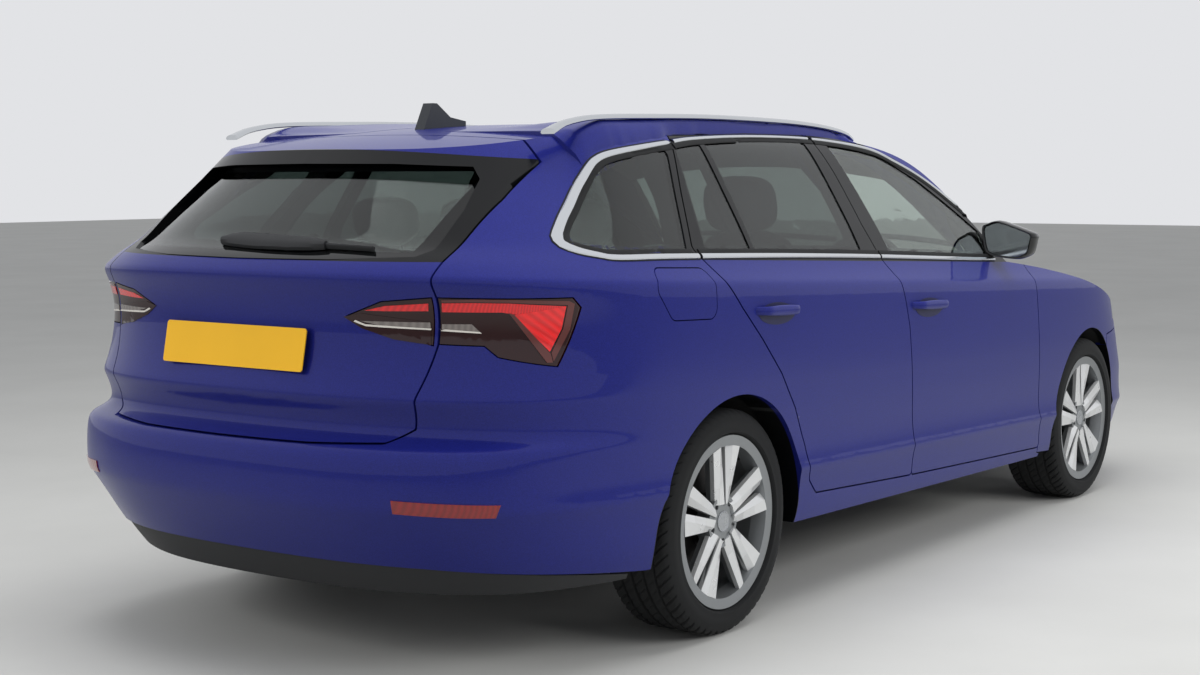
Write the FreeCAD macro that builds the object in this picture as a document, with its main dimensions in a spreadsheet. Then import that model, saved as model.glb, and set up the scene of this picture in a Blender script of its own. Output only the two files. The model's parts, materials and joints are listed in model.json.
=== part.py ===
import FreeCAD, Part
import math
import os
import Sketcher
from FreeCAD import Placement, Rotation, Vector

# Station wagon, millimetres. +X is forward, +Y is left, +Z is up.
# The origin is on the ground, midway along and across the car.

doc = FreeCAD.newDocument("station_wagon")
sheet = doc.addObject("Spreadsheet::Sheet", "driving_dimensions")

DRIVING = {
    "overall_length": 4689,
    "half_width": 914.5,
    "wheelbase": 2686,
    "front_overhang": 880,
    "track_front": 1543,
    "track_rear": 1535,
    "tyre_radius": 318.6,
    "tyre_width": 225,
    "rim_radius": 245,
    "bead_radius": 228.6,
    "rim_width": 205,
    "barrel_radius": 218,
    "spoke_count": 5,
    "mounting_offset": 45,
    "hub_radius": 74,
    "bolt_circle": 56,
    "bolt_bore": 8.5,
    "centre_bore": 28.5,
    "disc_radius": 160,
    "disc_thickness": 24,
    "arch_radius": 362,
    "panel_gap": 5,
    "skin": 25,
    "running_clearance": 0.3,
    "engine_length": 470,
    "engine_width": 660,
    "engine_height": 555,
    "tank_length": 360,
    "tank_width": 490,
    "tank_height": 155,
}
for row, (name, value) in enumerate(DRIVING.items(), start=1):
    sheet.set("A%d" % row, name)
    sheet.set("B%d" % row, str(value))
    sheet.setAlias("B%d" % row, name)
doc.recompute()


def size(name):
    return float(sheet.get(name))


LENGTH = size("overall_length")
HALF_WIDTH = size("half_width")
NOSE = LENGTH / 2
TAIL = -LENGTH / 2
FRONT_AXLE = NOSE - size("front_overhang")
REAR_AXLE = FRONT_AXLE - size("wheelbase")
TYRE_RADIUS = size("tyre_radius")
GAP = size("panel_gap")
SKIN = size("skin")
FIT = size("running_clearance")
ARCH = size("arch_radius")
SIDES = {"left": 1, "right": -1}
pieces = {}


def keep(name, shape):
    """Store one sub-part of the document under its own label."""
    if len(shape.Solids) == 1:
        shape = shape.Solids[0]
    feature = doc.addObject("Part::Feature", name)
    feature.Label = name
    feature.Shape = shape
    pieces[name] = feature
    return shape


def bound_box(name, corner, length, width, height):
    """A Part box whose sizes follow the named cells of the sheet."""
    feature = doc.addObject("Part::Box", name)
    feature.Placement = Placement(corner, Rotation())
    for side, cell in (("Length", length), ("Width", width), ("Height", height)):
        feature.setExpression(side, "driving_dimensions." + cell)
    pieces[name] = feature


def turned_body(name, section, centre):
    """A PartDesign body turned about Y. Its section is a sketch of straight
    lines from corner to corner, each corner held by formulas in the sheet."""
    first_row = len(DRIVING) + 3
    for row, formulas in enumerate(section, start=first_row):
        for column, formula in zip("CD", formulas):
            sheet.set("%s%d" % (column, row), "=" + formula)
    sheet.recompute()
    rows = range(first_row, first_row + len(section))
    corners = [Vector(float(sheet.get("C%d" % row)), float(sheet.get("D%d" % row)), 0)
               for row in rows]
    body = doc.addObject("PartDesign::Body", name)
    sketch = body.newObject("Sketcher::SketchObject", name + "_section")
    plane = [item for item in body.Origin.OriginFeatures if item.Role == "YZ_Plane"][0]
    sketch.AttachmentSupport = (plane, [""])
    sketch.MapMode = "FlatFace"
    for start, end in zip(corners, corners[1:] + corners[:1]):
        sketch.addGeometry(Part.LineSegment(start, end), False)
    for index, row in enumerate(rows):
        following = (index + 1) % len(corners)
        sketch.addConstraint(Sketcher.Constraint("Coincident", index, 2, following, 1))
        for axis, column, distance in (("DistanceX", "C", corners[index].x),
                                       ("DistanceY", "D", corners[index].y)):
            number = sketch.addConstraint(
                Sketcher.Constraint(axis, -1, 1, index, 1, distance))
            sketch.setExpression("Constraints[%d]" % number,
                                 "driving_dimensions.%s%d" % (column, row))
    turn = body.newObject("PartDesign::Revolution", name + "_turn")
    turn.Profile = sketch
    turn.ReferenceAxis = (sketch, ["H_Axis"])
    turn.Angle = 360
    body.Placement = Placement(centre, Rotation())
    pieces[name] = body


# Plain shapes

def box(x0, x1, y0, y1, z0, z1):
    return Part.makeBox(x1 - x0, y1 - y0, z1 - z0, Vector(x0, y0, z0))


def rod(start, end, radius):
    axis = end - start
    return Part.makeCylinder(radius, axis.Length, start, axis)


def mirrored(shape):
    return shape.mirror(Vector(0, 0, 0), Vector(0, 1, 0))


def on_side(shape, side):
    """Shapes are drawn on the right of the car and mirrored to the left."""
    return shape if side < 0 else mirrored(shape)


def flat_face(points, plane):
    """A face from an outline in a side (xz), plan (xy) or rear (yz) view."""
    to_space = {
        "side": lambda a, b: Vector(a, 0, b),
        "plan": lambda a, b: Vector(a, b, 0),
        "rear": lambda a, b: Vector(0, a, b),
    }[plane]
    corners = [to_space(a, b) for a, b in points]
    return Part.Face(Part.makePolygon(corners + corners[:1]))


def softened(face, radius):
    """Round the outward corners of a flat outline."""
    return face.makeOffset2D(-radius).makeOffset2D(radius)


def side_prism(points, radius=0, grow=0, reach=(-1100, -250)):
    """An outline of the side view, cut through the right side of the car."""
    face = flat_face(points, "side")
    if radius:
        face = softened(face, radius)
    if grow:
        face = face.makeOffset2D(grow, 2)
    solid = face.extrude(Vector(0, reach[1] - reach[0], 0))
    solid.translate(Vector(0, reach[0], 0))
    return solid


def plan_prism(points, z0, z1, radius=0, grow=0):
    face = flat_face(points, "plan")
    if radius:
        face = softened(face, radius)
    if grow:
        face = face.makeOffset2D(grow, 2)
    solid = face.extrude(Vector(0, 0, z1 - z0))
    solid.translate(Vector(0, 0, z0))
    return solid


def rear_prism(points, x0, x1, radius=0, grow=0):
    face = flat_face(points, "rear")
    if radius:
        face = softened(face, radius)
    if grow:
        face = face.makeOffset2D(grow, 2)
    solid = face.extrude(Vector(x1 - x0, 0, 0))
    solid.translate(Vector(x0, 0, 0))
    return solid


def both_halves(points):
    """A closed outline from its half at y >= 0, listed from the centre line."""
    return points + [(-y, z) for y, z in reversed(points) if y > 0]


# Body surfaces
# Each level of the side surface has a height, a half width, the nose and tail
# it reaches, and how much it rises towards the tail.

LEVELS = [
    (150, 0.913, 2190, -2110, 0.00),
    (185, 0.929, 2230, -2165, 0.01),
    (250, 0.969, 2300, -2225, 0.02),
    (330, 0.976, 2330, -2285, 0.025),
    (385, 0.990, 2345, -2325, 0.028),
    (402, 1.000, 2349, -2336, 0.029),
    (418, 0.994, 2350, -2344, 0.030),
    (470, 0.989, 2350, -2348, 0.032),
    (530, 0.993, 2342, -2340, 0.035),
    (546, 0.994, 2339, -2318, 0.035),
    (562, 0.995, 2334, -2262, 0.035),
    (590, 0.997, 2318, -2243, 0.035),
    (640, 0.999, 2292, -2264, 0.036),
    (656, 1.000, 2285, -2276, 0.037),
    (674, 1.001, 2277, -2266, 0.038),
    (720, 1.002, 2256, -2242, 0.041),
    (800, 1.002, 2225, -2225, 0.044),
    (880, 1.003, 2180, -2235, 0.045),
    (922, 1.001, 2157, -2262, 0.045),
    (940, 0.996, 2144, -2264, 0.045),
    (952, 0.984, 2136, -2255, 0.045),
    (985, 0.958, 2110, -2225, 0.045),
    (1030, 0.932, 2080, -2170, 0.04),
    (1100, 0.899, 2060, -2130, 0.03),
    (1200, 0.840, 2060, -2060, 0.02),
    (1300, 0.779, 2060, -1990, 0.01),
    (1370, 0.730, 2060, -1940, 0.005),
    (1410, 0.689, 2060, -1912, 0.0),
    (1440, 0.623, 2060, -1890, 0.0),
    (1480, 0.525, 2060, -1860, 0.0),
]
BELT = 1000


def side_row(level, half, nose, tail, rise, inset):
    """Poles of one level, from the nose along the right side to the tail."""
    half = half * HALF_WIDTH - inset
    nose = nose - inset
    tail = tail + inset
    tumble = min(1.0, max(0.0, (level - 950) / 300))
    plan = [
        (nose, 0.0),
        (nose, 0.34),
        (nose - 45, 0.63),
        (nose - 170, 0.845),
        (nose - 420, 0.945),
        (FRONT_AXLE, 0.985 - 0.02 * tumble),
        (FRONT_AXLE - 560, 0.998 - 0.02 * tumble),
        (FRONT_AXLE - 1300, 1.0),
        (FRONT_AXLE - 2000, 1.0),
        (REAR_AXLE, 1.0 - 0.02 * tumble),
        (REAR_AXLE - 400, 0.985 - 0.05 * tumble),
        (tail + 400, 0.935 - 0.07 * tumble),
        (tail + 195, 0.835 - 0.05 * tumble),
        (tail + 70, 0.62),
        (tail, 0.34),
        (tail, 0.0),
    ]
    return [Vector(x, -share * half, level - rise * x) for x, share in plan]


def cubic_surface(rows):
    def clamped(count):
        spans = count - 3
        return list(range(spans + 1)), [4] + [1] * (spans - 1) + [4]
    knots_u, mults_u = clamped(len(rows))
    knots_v, mults_v = clamped(len(rows[0]))
    surface = Part.BSplineSurface()
    surface.buildFromPolesMultsKnots(
        rows, mults_u, mults_v, knots_u, knots_v, False, False, 3, 3)
    return surface


def side_hull(inset_at):
    """The closed solid between both sides, capped flat below and above."""
    rows = [side_row(*level, inset_at(level[0])) for level in LEVELS]
    right = cubic_surface(rows).toShape()
    left = mirrored(right)

    def rim(face, height):
        return min(face.Edges, key=lambda edge: abs(edge.BoundBox.ZMin - height)
                   + abs(edge.BoundBox.ZMax - height))
    caps = [Part.Face(Part.Wire([rim(right, row[0].z), rim(left, row[0].z)]))
            for row in (rows[0], rows[-1])]
    shell = Part.Shell([right, left] + caps)
    shell.sewShape()
    solid = Part.Solid(shell)
    if solid.Volume < 0:
        solid.reverse()
    return solid


ROOF_PROFILE = [
    (1500, 800, 170), (1250, 935, 160), (1000, 1065, 150), (700, 1218, 130),
    (480, 1325, 95), (300, 1390, 62), (80, 1428, 45), (-300, 1450, 36),
    (-800, 1456, 32), (-1250, 1446, 32), (-1600, 1421, 34), (-1850, 1386, 38),
    (-2050, 1345, 40), (-2300, 1290, 40), (-2550, 1225, 40),
]
BONNET_PROFILE = [
    (500, 1050, 35), (900, 1018, 40), (1100, 1000, 45), (1400, 965, 50),
    (1700, 905, 55), (1950, 835, 60), (2120, 768, 60), (2230, 700, 55),
    (2330, 600, 50), (2450, 480, 50),
]
CROWN_AT = 700
CROWN_SHARES = (-1.5, -1.0, -0.55, 0.0, 0.55, 1.0, 1.5)


def crowned_surface(profile, drop):
    """A profile along the car, falling away to both sides."""
    rows = []
    for index, (x, z, fall) in enumerate(profile):
        before = profile[max(0, index - 1)]
        after = profile[min(len(profile) - 1, index + 1)]
        run = Vector(before[0] - after[0], 0, before[1] - after[1]).normalize()
        up = Vector(-run.z, 0, run.x)
        if up.z < 0:
            up = -up
        middle = Vector(x, 0, z) - up * drop
        rows.append([middle + Vector(0, share * CROWN_AT, 0) - up * fall * share ** 2
                     for share in CROWN_SHARES])
    return cubic_surface(rows)


def hull(inset_at, roof_drop):
    """The whole body, moved inwards by an inset at each level."""
    roof = crowned_surface(ROOF_PROFILE, roof_drop).toShape()
    bonnet = crowned_surface(BONNET_PROFILE, roof_drop).toShape()
    down = Vector(0, 0, -1700)
    top = roof.extrude(down).fuse(bonnet.extrude(down))
    return side_hull(inset_at).common(top)


def even_hull(inset):
    return hull(lambda level: inset, inset)


def two_step(low, high):
    """Wall depth below and above the waist."""
    return lambda level: low if level < BELT else high


OUTER = even_hull(0)
IN_GLASS = even_hull(4)
OUT_GLASS = even_hull(9)
UNDER_SKIN = even_hull(SKIN)
UNDER_SKIN_GAP = even_hull(SKIN + GAP)
BUMPER_INSIDE = even_hull(45)
DOOR_INSIDE = hull(two_step(85, 40), 40)
CABIN = hull(lambda level: 95 if level < BELT else (62 if level < 1290 else 105), 45)
TAILGATE_INSIDE = even_hull(60)

# Outlines in the side view, on the right side

ROOF_LINE = [(-170, 1407), (-16, 1384), (141, 1341), (299, 1281), (455, 1197),
             (640, 1090), (790, 1005)]
B_SEAM = [(-352, 1416), (-330, 1286), (-318, 1128), (-285, 1022), (-245, 958),
          (-210, 876), (-182, 801), (-155, 648), (-135, 500), (-122, 408)]
DOOR_BOTTOM_FRONT = (985, 262)
DOOR_BOTTOM_B = (-104, 306)
DOOR_BOTTOM_REAR = (-755, 340)
FRONT_DOOR = (B_SEAM + [DOOR_BOTTOM_B, DOOR_BOTTOM_FRONT, (936, 403), (917, 593),
              (892, 752), (864, 887), (850, 960)] + ROOF_LINE[::-1])
REAR_EDGE = [(-808, 385), (-847, 496), (-913, 613), (-1001, 724), (-1109, 830),
             (-1216, 924), (-1285, 993), (-1335, 1063), (-1352, 1092),
             (-1256, 1246), (-1156, 1400)]
REAR_DOOR = ([(x - GAP, z) for x, z in B_SEAM]
             + [(DOOR_BOTTOM_B[0] - GAP, DOOR_BOTTOM_B[1]), DOOR_BOTTOM_REAR]
             + REAR_EDGE + [(-713, 1416)])
FRONT_WINDOW = [(-277, 1390), (-117, 1378), (57, 1346), (240, 1271), (392, 1187),
                (560, 1086), (560, 1000), (476, 1003), (-209, 1038)]
REAR_WINDOW = [(-1005, 1384), (-720, 1398), (-413, 1398), (-400, 1050), (-1042, 1074)]
REAR_PANE = [(-1172, 1368), (-1031, 1383), (-1064, 1075), (-1300, 1082)]
QUARTER_WINDOW = [(-1795, 1144), (-1744, 1186), (-1657, 1249), (-1583, 1296),
                  (-1485, 1329), (-1339, 1357), (-1212, 1366), (-1385, 1086),
                  (-1592, 1085), (-1726, 1097), (-1794, 1106)]
FUEL_FLAP = [(-1583, 1046), (-1365, 1037), (-1348, 1000), (-1348, 902),
             (-1548, 909), (-1611, 991)]

# Outlines in the rear view

TAILGATE = [(0, 627), (300, 628), (500, 634), (548, 665), (560, 734), (592, 873),
            (598, 990), (592, 1076), (592, 1225), (575, 1330), (562, 1460), (0, 1460)]
TAILGATE_TOP_X = -1700
ROOF_GAP = 8
GATE_FLANGE = (-1826, 578)
GATE_FRAME_ROOM = box(-2400, -1760, -575, 575, 1060, 1400)
REAR_GLASS = [(0, 1078), (300, 1080), (520, 1088), (548, 1105), (545, 1200),
              (524, 1280), (492, 1312), (300, 1320), (0, 1322)]
GLASS_FOOT = Vector(-2150, 0, 1078)
GLASS_LEAN = 5
TAIL_LAMP = [(-604, 989), (-830, 984), (-836, 960), (-810, 817), (-721, 844),
             (-693, 872), (-598, 876)]
INNER_LAMP = [(-588, 989), (-461, 977), (-365, 941), (-582, 873)]
REFLECTOR = [(-547, 500), (-770, 490), (-755, 456), (-550, 467)]

# Doors: the inner layer stops short of the skin's edge, and the glass laps
# over the frame of its opening
DOOR_INSET = 35
GLASS_LAP = 14
DOOR_CORNER = 12


def arch_cut(axle_x, radius, inner_y=0):
    return Part.makeCylinder(radius, 1200, Vector(axle_x, -inner_y, TYRE_RADIUS),
                             Vector(0, -1, 0))


def sill_slope(x):
    return 243 - 0.022 * x


ABOVE_SILL = side_prism([(-2400, sill_slope(-2400)), (2400, sill_slope(2400)),
                         (2400, 1600), (-2400, 1600)], reach=(-1200, 1200))

# Body side: sill, pillars, roof rail and rear quarter in one pressing

ROOF_HALF = 545
HEADER_X = 345
PILLAR_FOOT = (1030, 740)
SIDE_PLAN = [(-2360, -ROOF_HALF), (-2360, -1100), (1010, -1100), (1010, -734),
             (360, -549), (HEADER_X, -ROOF_HALF)]
REAR_SEAM = [(-2400, 904), (-2150, 868), (-1940, 816), (-1814, 790), (-1677, 760),
             (-1502, 724), (-1400, 700), (-1400, 100), (-2400, 100)]
WING = [(990, 240), (941, 403), (922, 593), (897, 752), (869, 887), (855, 960),
        (805, 1005), (900, 1010), (1100, 1100), (2300, 1100), (2300, 790),
        (2060, 700), (1960, 655), (1700, 640), (1700, 300), (1130, 230)]
HEADLAMP = [(430, 700), (425, 668), (470, 642), (620, 624), (800, 655), (900, 745),
            (905, 800), (800, 778), (640, 738)]
BONNET_HALF = [(2300, 0), (2192, 0), (2178, 300), (2130, 520), (2040, 660),
               (1900, 745), (1700, 785), (1400, 802), (1150, 800), (1052, 770),
               (1115, 600), (1157, 300), (1165, 0)]
BONNET_PLAN = BONNET_HALF[1:] + [(x, -y) for x, y in reversed(BONNET_HALF[2:-1])]

rear_seam_zone = side_prism(REAR_SEAM, reach=(-1200, 0))
rear_zone_both = rear_seam_zone.fuse(mirrored(rear_seam_zone))
tailgate_zone = rear_prism(both_halves(TAILGATE), -2500, TAILGATE_TOP_X)
tailgate_gap_zone = rear_prism(both_halves(TAILGATE), -2500, TAILGATE_TOP_X + ROOF_GAP,
                               grow=GAP)
bonnet_zone = plan_prism(BONNET_PLAN, 600, 1200)
bonnet_gap_zone = plan_prism(BONNET_PLAN, 600, 1200, grow=GAP)
wing_zone = side_prism(WING, reach=(-1100, -300))
wing_gap_zone = side_prism(WING, grow=GAP, reach=(-1100, -300))
LAMP_FIT = 3
lamp_zone = rear_prism(TAIL_LAMP, -2400, -1800)
lamp_gap_zone = rear_prism(TAIL_LAMP, -2400, -1800, grow=LAMP_FIT)
headlamp_zone = rear_prism([(-y, z) for y, z in HEADLAMP], 1850, 2400)
headlamp_gap_zone = rear_prism([(-y, z) for y, z in HEADLAMP], 1850, 2400,
                               grow=LAMP_FIT)


DOOR_REACH = (-1100, -578)


def door_opening(outline):
    """Cut the skin at the door's edge and the frame at its inner edge."""
    whole = side_prism(outline, radius=DOOR_CORNER, grow=GAP, reach=DOOR_REACH)
    inner = side_prism(outline, radius=DOOR_CORNER, grow=2 * GAP - DOOR_INSET)
    return whole.cut(UNDER_SKIN_GAP).fuse(inner)


side = OUTER.common(plan_prism(SIDE_PLAN, 0, 1600)).cut(CABIN)
side = side.common(ABOVE_SILL)
side = side.cut(rear_seam_zone)
side = side.cut(tailgate_gap_zone)
side = side.cut(door_opening(FRONT_DOOR))
side = side.cut(door_opening(REAR_DOOR))
side = side.cut(side_prism(QUARTER_WINDOW, radius=15).cut(OUT_GLASS))
side = side.cut(side_prism(QUARTER_WINDOW, radius=15, grow=-GLASS_LAP))
side = side.cut(arch_cut(REAR_AXLE, ARCH))
side = side.cut(lamp_gap_zone.cut(BUMPER_INSIDE))
side = side.cut(wing_gap_zone.cut(UNDER_SKIN))
flap_pocket = side_prism(FUEL_FLAP, radius=30, grow=LAMP_FIT).cut(BUMPER_INSIDE)


def largest(shape):
    return max(shape.Solids, key=lambda solid: solid.Volume)


body_right = keep("body_side_right", largest(side.cut(flap_pocket)))
body_left = keep("body_side_left", mirrored(largest(side)))
flap = OUTER.common(side_prism(FUEL_FLAP, radius=30)).cut(even_hull(8))
flap_arm = box(-1375, -1360, -930, -800, 955, 985)
flap_arm = even_hull(7).common(flap_arm).cut(even_hull(45 - FIT))
keep("fuel_flap", flap.fuse(flap_arm))


def both(shape):
    return Part.makeCompound([shape, mirrored(shape)])


def pane(outline, radius=10):
    return IN_GLASS.common(side_prism(outline, radius=radius, grow=-FIT)).cut(OUT_GLASS)


keep("quarter_glass", both(pane(QUARTER_WINDOW, 15)))

# Roof, windscreen and cowl
roof_plan = [(TAILGATE_TOP_X + ROOF_GAP, -ROOF_HALF), (HEADER_X, -ROOF_HALF),
             (HEADER_X, ROOF_HALF), (TAILGATE_TOP_X + ROOF_GAP, ROOF_HALF)]
keep("roof_panel", OUTER.common(plan_prism(roof_plan, 1200, 1600)).cut(CABIN))

SCREEN_FRONT = [(1030, 725), (1085, 600), (1125, 300), (1135, 0)]
screen_half = [(HEADER_X + FIT, 0), (HEADER_X + FIT, ROOF_HALF - FIT),
               (360, 549 - FIT)] + SCREEN_FRONT
screen_plan = screen_half[1:] + [(x, -y) for x, y in reversed(screen_half[1:-1])]
keep("windscreen", IN_GLASS.common(plan_prism(screen_plan, 900, 1600)).cut(OUT_GLASS))
cowl_half = ([(1165 - GAP, 0), (1157 - GAP, 300), (1115 - GAP, 600), (1052 - GAP, 770)]
             + [(1015, 770), (1015, 730)]
             + [(x + FIT, y) for x, y in SCREEN_FRONT])
cowl_plan = cowl_half + [(x, -y) for x, y in reversed(cowl_half[1:-1])]
keep("cowl", largest(OUTER.common(plan_prism(cowl_plan, 800, 1600)).cut(UNDER_SKIN)))
screen_zone = plan_prism(screen_plan, 700, 1600, grow=2)

# Bonnet
bonnet = OUTER.common(bonnet_zone).cut(UNDER_SKIN)
bonnet = bonnet.cut(headlamp_gap_zone).cut(mirrored(headlamp_gap_zone))
keep("bonnet", largest(bonnet))

# Front wings
wing = OUTER.common(wing_zone).cut(UNDER_SKIN)
wing = wing.cut(bonnet_gap_zone).cut(arch_cut(FRONT_AXLE, ARCH))
wing = wing.cut(headlamp_gap_zone).cut(screen_zone).cut(pieces["cowl"].Shape)
wing = wing.cut(side_prism(FRONT_DOOR, radius=DOOR_CORNER, grow=GAP))
wing = largest(wing)
keep("front_wings", both(wing))

# Front bumper, lamps and grille
bumper_box = box(1700, 2400, -1200, 1200, 190, 900)
front = OUTER.common(bumper_box).cut(BUMPER_INSIDE)
front = front.cut(bonnet_gap_zone)
front = front.cut(wing_gap_zone).cut(mirrored(wing_gap_zone))
front = front.cut(arch_cut(FRONT_AXLE, ARCH, 1200).fuse(arch_cut(FRONT_AXLE, ARCH)))
front = front.cut(mirrored(arch_cut(FRONT_AXLE, ARCH)))
front = front.cut(headlamp_gap_zone).cut(mirrored(headlamp_gap_zone))
GRILLE = [(0, 726), (300, 722), (385, 695), (392, 640), (330, 560), (0, 548)]
LOWER_GRILLE = [(0, 430), (560, 430), (640, 395), (600, 300), (0, 290)]
for outline in (GRILLE, LOWER_GRILLE):
    front = front.cut(rear_prism(both_halves(outline), 2000, 2400))
keep("front_bumper", largest(front))
keep("headlamps", both(OUTER.common(headlamp_zone).cut(BUMPER_INSIDE)))
IN_GRILLE = even_hull(12)
grilles = [IN_GRILLE.common(rear_prism(both_halves(outline), 2000, 2400,
                                       grow=-FIT)).cut(BUMPER_INSIDE).cut(bonnet_gap_zone)
           for outline in (GRILLE, LOWER_GRILLE)]
keep("grille", Part.makeCompound([largest(g) for g in grilles]))

# Rear bumper
rear = OUTER.common(rear_zone_both).cut(BUMPER_INSIDE)
rear = rear.common(side_prism([(-1200, 232), (-1200, 1000), (-2500, 1000), (-2500, 335),
                               (-2150, 310), (-1600, 246)], reach=(-1200, 1200)))
rear = rear.cut(tailgate_gap_zone)
rear = rear.cut(arch_cut(REAR_AXLE, ARCH)).cut(mirrored(arch_cut(REAR_AXLE, ARCH)))
rear = rear.cut(lamp_gap_zone).cut(mirrored(lamp_gap_zone))
rear_bumper = keep("rear_bumper", largest(rear))
VALANCE = [(-1660, 232), (-1660, 246), (-2150, 310 - FIT), (-2500, 335 - FIT), (-2500, 232)]
valance = even_hull(6).common(side_prism(VALANCE, reach=(-1200, 1200)))
valance = valance.cut(even_hull(20)).cut(rear_bumper)
keep("rear_valance", largest(valance))
keep("tail_lamps", both(OUTER.common(lamp_zone).cut(BUMPER_INSIDE)))

# Tailgate
def leaned(shape):
    """The rear glass leans in from its foot, so the spoiler stands out over it."""
    shape = shape.copy()
    shape.rotate(GLASS_FOOT, Vector(0, 1, 0), GLASS_LEAN)
    return shape


LEANED_OUT = leaned(OUT_GLASS)
LEANED_IN = leaned(IN_GLASS)
gate = OUTER.common(tailgate_zone)
gate = gate.cut(TAILGATE_INSIDE).fuse(gate.cut(leaned(TAILGATE_INSIDE)).common(GATE_FRAME_ROOM))
for sign in (-1, 1):
    flange = box(GATE_FLANGE[0], -1600, GATE_FLANGE[1], 760, 1150, 1320)
    gate = gate.cut(flange if sign > 0 else mirrored(flange))
rear_glass_zone = rear_prism(both_halves(REAR_GLASS), -2400, -1700)
gate = gate.cut(rear_glass_zone.cut(LEANED_OUT))
gate = gate.cut(rear_prism(both_halves(REAR_GLASS), -2400, -1700, grow=-GLASS_LAP))
inner_lamp_zone = rear_prism(INNER_LAMP, -2400, -2000)
inner_lamp_gap = rear_prism(INNER_LAMP, -2400, -2000, grow=LAMP_FIT)
LAMP_BACK = even_hull(30)
gate = gate.cut(inner_lamp_gap.cut(LAMP_BACK)).cut(mirrored(inner_lamp_gap.cut(LAMP_BACK)))
keep("tailgate", largest(gate))
tailgate_pane = rear_prism(both_halves(REAR_GLASS), -2400, -1740, grow=-FIT)
keep("tailgate_glass", largest(LEANED_IN.common(tailgate_pane).cut(LEANED_OUT)))
keep("tailgate_lamps", both(OUTER.common(inner_lamp_zone).cut(LAMP_BACK)))

# Doors


SAIL_CORNER = box(590, 1000, -700, -500, 900, 1300)


def door(outline, windows):
    skin = side_prism(outline, radius=DOOR_CORNER, reach=DOOR_REACH)
    skin = OUTER.common(skin).cut(UNDER_SKIN)
    lining = side_prism(outline, radius=DOOR_CORNER, grow=-DOOR_INSET, reach=DOOR_REACH)
    lining = UNDER_SKIN.common(lining)
    lining = lining.cut(DOOR_INSIDE)
    shape = skin.fuse(lining).cut(SAIL_CORNER)
    for window in windows:
        shape = shape.cut(side_prism(window, radius=10).cut(OUT_GLASS))
        shape = shape.cut(side_prism(window, radius=10, grow=-GLASS_LAP))
    return shape


front_door = door(FRONT_DOOR, [FRONT_WINDOW])
rear_door = door(REAR_DOOR, [REAR_WINDOW, REAR_PANE])
front_pane = pane(FRONT_WINDOW)
rear_panes = Part.makeCompound([pane(REAR_WINDOW), pane(REAR_PANE)])
mirror_box = box(450, 650, -1001.5, -880, 990, 1120)
mirror_head = mirror_box.makeFillet(28, mirror_box.Edges)
mirror_head = mirror_head.fuse(box(530, 620, -900, -830, 1000, 1035))
mirror_head = mirror_head.cut(front_door).cut(front_pane)
for side_name, sign in SIDES.items():
    keep("door_front_" + side_name, on_side(largest(front_door), sign))
    keep("door_rear_" + side_name, on_side(largest(rear_door), sign))
    keep("glass_front_" + side_name, on_side(front_pane, sign))
    keep("glass_rear_" + side_name, on_side(rear_panes, sign))
    keep("mirror_" + side_name, on_side(largest(mirror_head), sign))

# Wheels


# Each pair of spokes is a broad blade and a narrow one. Their front corners
# stand at different depths, so the faces twist from the hub to the lip.

BLADES = [
    ([(-34, 52), (-4, 52), (-2, 90), (-34, 80)],
     [(-66, 66), (-16, 66), (-14, 84), (-66, 98)]),
    ([(4, 52), (30, 52), (32, 80), (2, 90)],
     [(22, 66), (58, 66), (60, 98), (24, 80)]),
]


def wheel_pieces(half_track):
    """The rim and its brake disc, drawn on the left of the car."""
    width = size("tyre_width") / 2
    bead = size("bead_radius")
    rim_half = size("rim_width") / 2
    lip = size("rim_radius")
    barrel = size("barrel_radius")
    face = size("mounting_offset")

    def turned(points):
        corners = [Vector(0, y, r) for y, r in points]
        profile = Part.Face(Part.makePolygon(corners + corners[:1]))
        return profile.revolve(Vector(0, 0, 0), Vector(0, 1, 0), 360)
    rim = turned([(-rim_half, lip), (-rim_half + 8, lip), (-rim_half + 8, bead),
                  (-rim_half + 40, bead), (-rim_half + 55, barrel), (40, barrel),
                  (60, bead), (rim_half - 8, bead), (rim_half - 8, lip),
                  (rim_half, lip), (rim_half - 4, barrel - 2), (55, barrel - 12),
                  (-rim_half + 50, barrel - 8), (-rim_half + 30, barrel - 3),
                  (-rim_half, barrel - 3)])
    hub = Part.makeCylinder(size("hub_radius"), 42, Vector(0, face, 0), Vector(0, 1, 0))
    rim = rim.fuse(hub)
    spoke_limit = Part.makeCylinder(barrel + 2, 2 * width, Vector(0, -width, 0), Vector(0, 1, 0))
    for index in range(int(size("spoke_count"))):
        for near_hub, near_lip in BLADES:
            ends = []
            for height, corners in ((45, near_hub), (lip, near_lip)):
                points = [Vector(x, y, height) for x, y in corners + corners[:1]]
                ends.append(Part.makePolygon(points))
            spoke = Part.makeLoft(ends, True, True).common(spoke_limit)
            spoke.rotate(Vector(0, 0, 0), Vector(0, 1, 0), 360 / size("spoke_count") * index)
            rim = rim.fuse(spoke)
    bore = Part.makeCylinder(size("centre_bore"), 20, Vector(0, face - 0.5, 0),
                             Vector(0, 1, 0))
    rim = rim.cut(bore)
    for index in range(5):
        hole = Part.makeCylinder(size("bolt_bore"), 60, Vector(0, face - 1, size("bolt_circle")),
                                 Vector(0, 1, 0))
        hole.rotate(Vector(0, 0, 0), Vector(0, 1, 0), 72 * index + 36)
        rim = rim.cut(hole)
    rotor = size("disc_radius")
    disc_back = face - 22 - size("disc_thickness")
    disc = turned([(face - FIT, 30), (face - FIT, 78), (face - 22, 78), (face - 22, rotor),
                   (disc_back, rotor), (disc_back, 90), (face - 34, 70), (face - 8, 70),
                   (face - 8, 30)])
    centre = Vector(0, half_track, 0)
    rim.translate(centre)
    disc.translate(centre)
    return rim, disc


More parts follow.
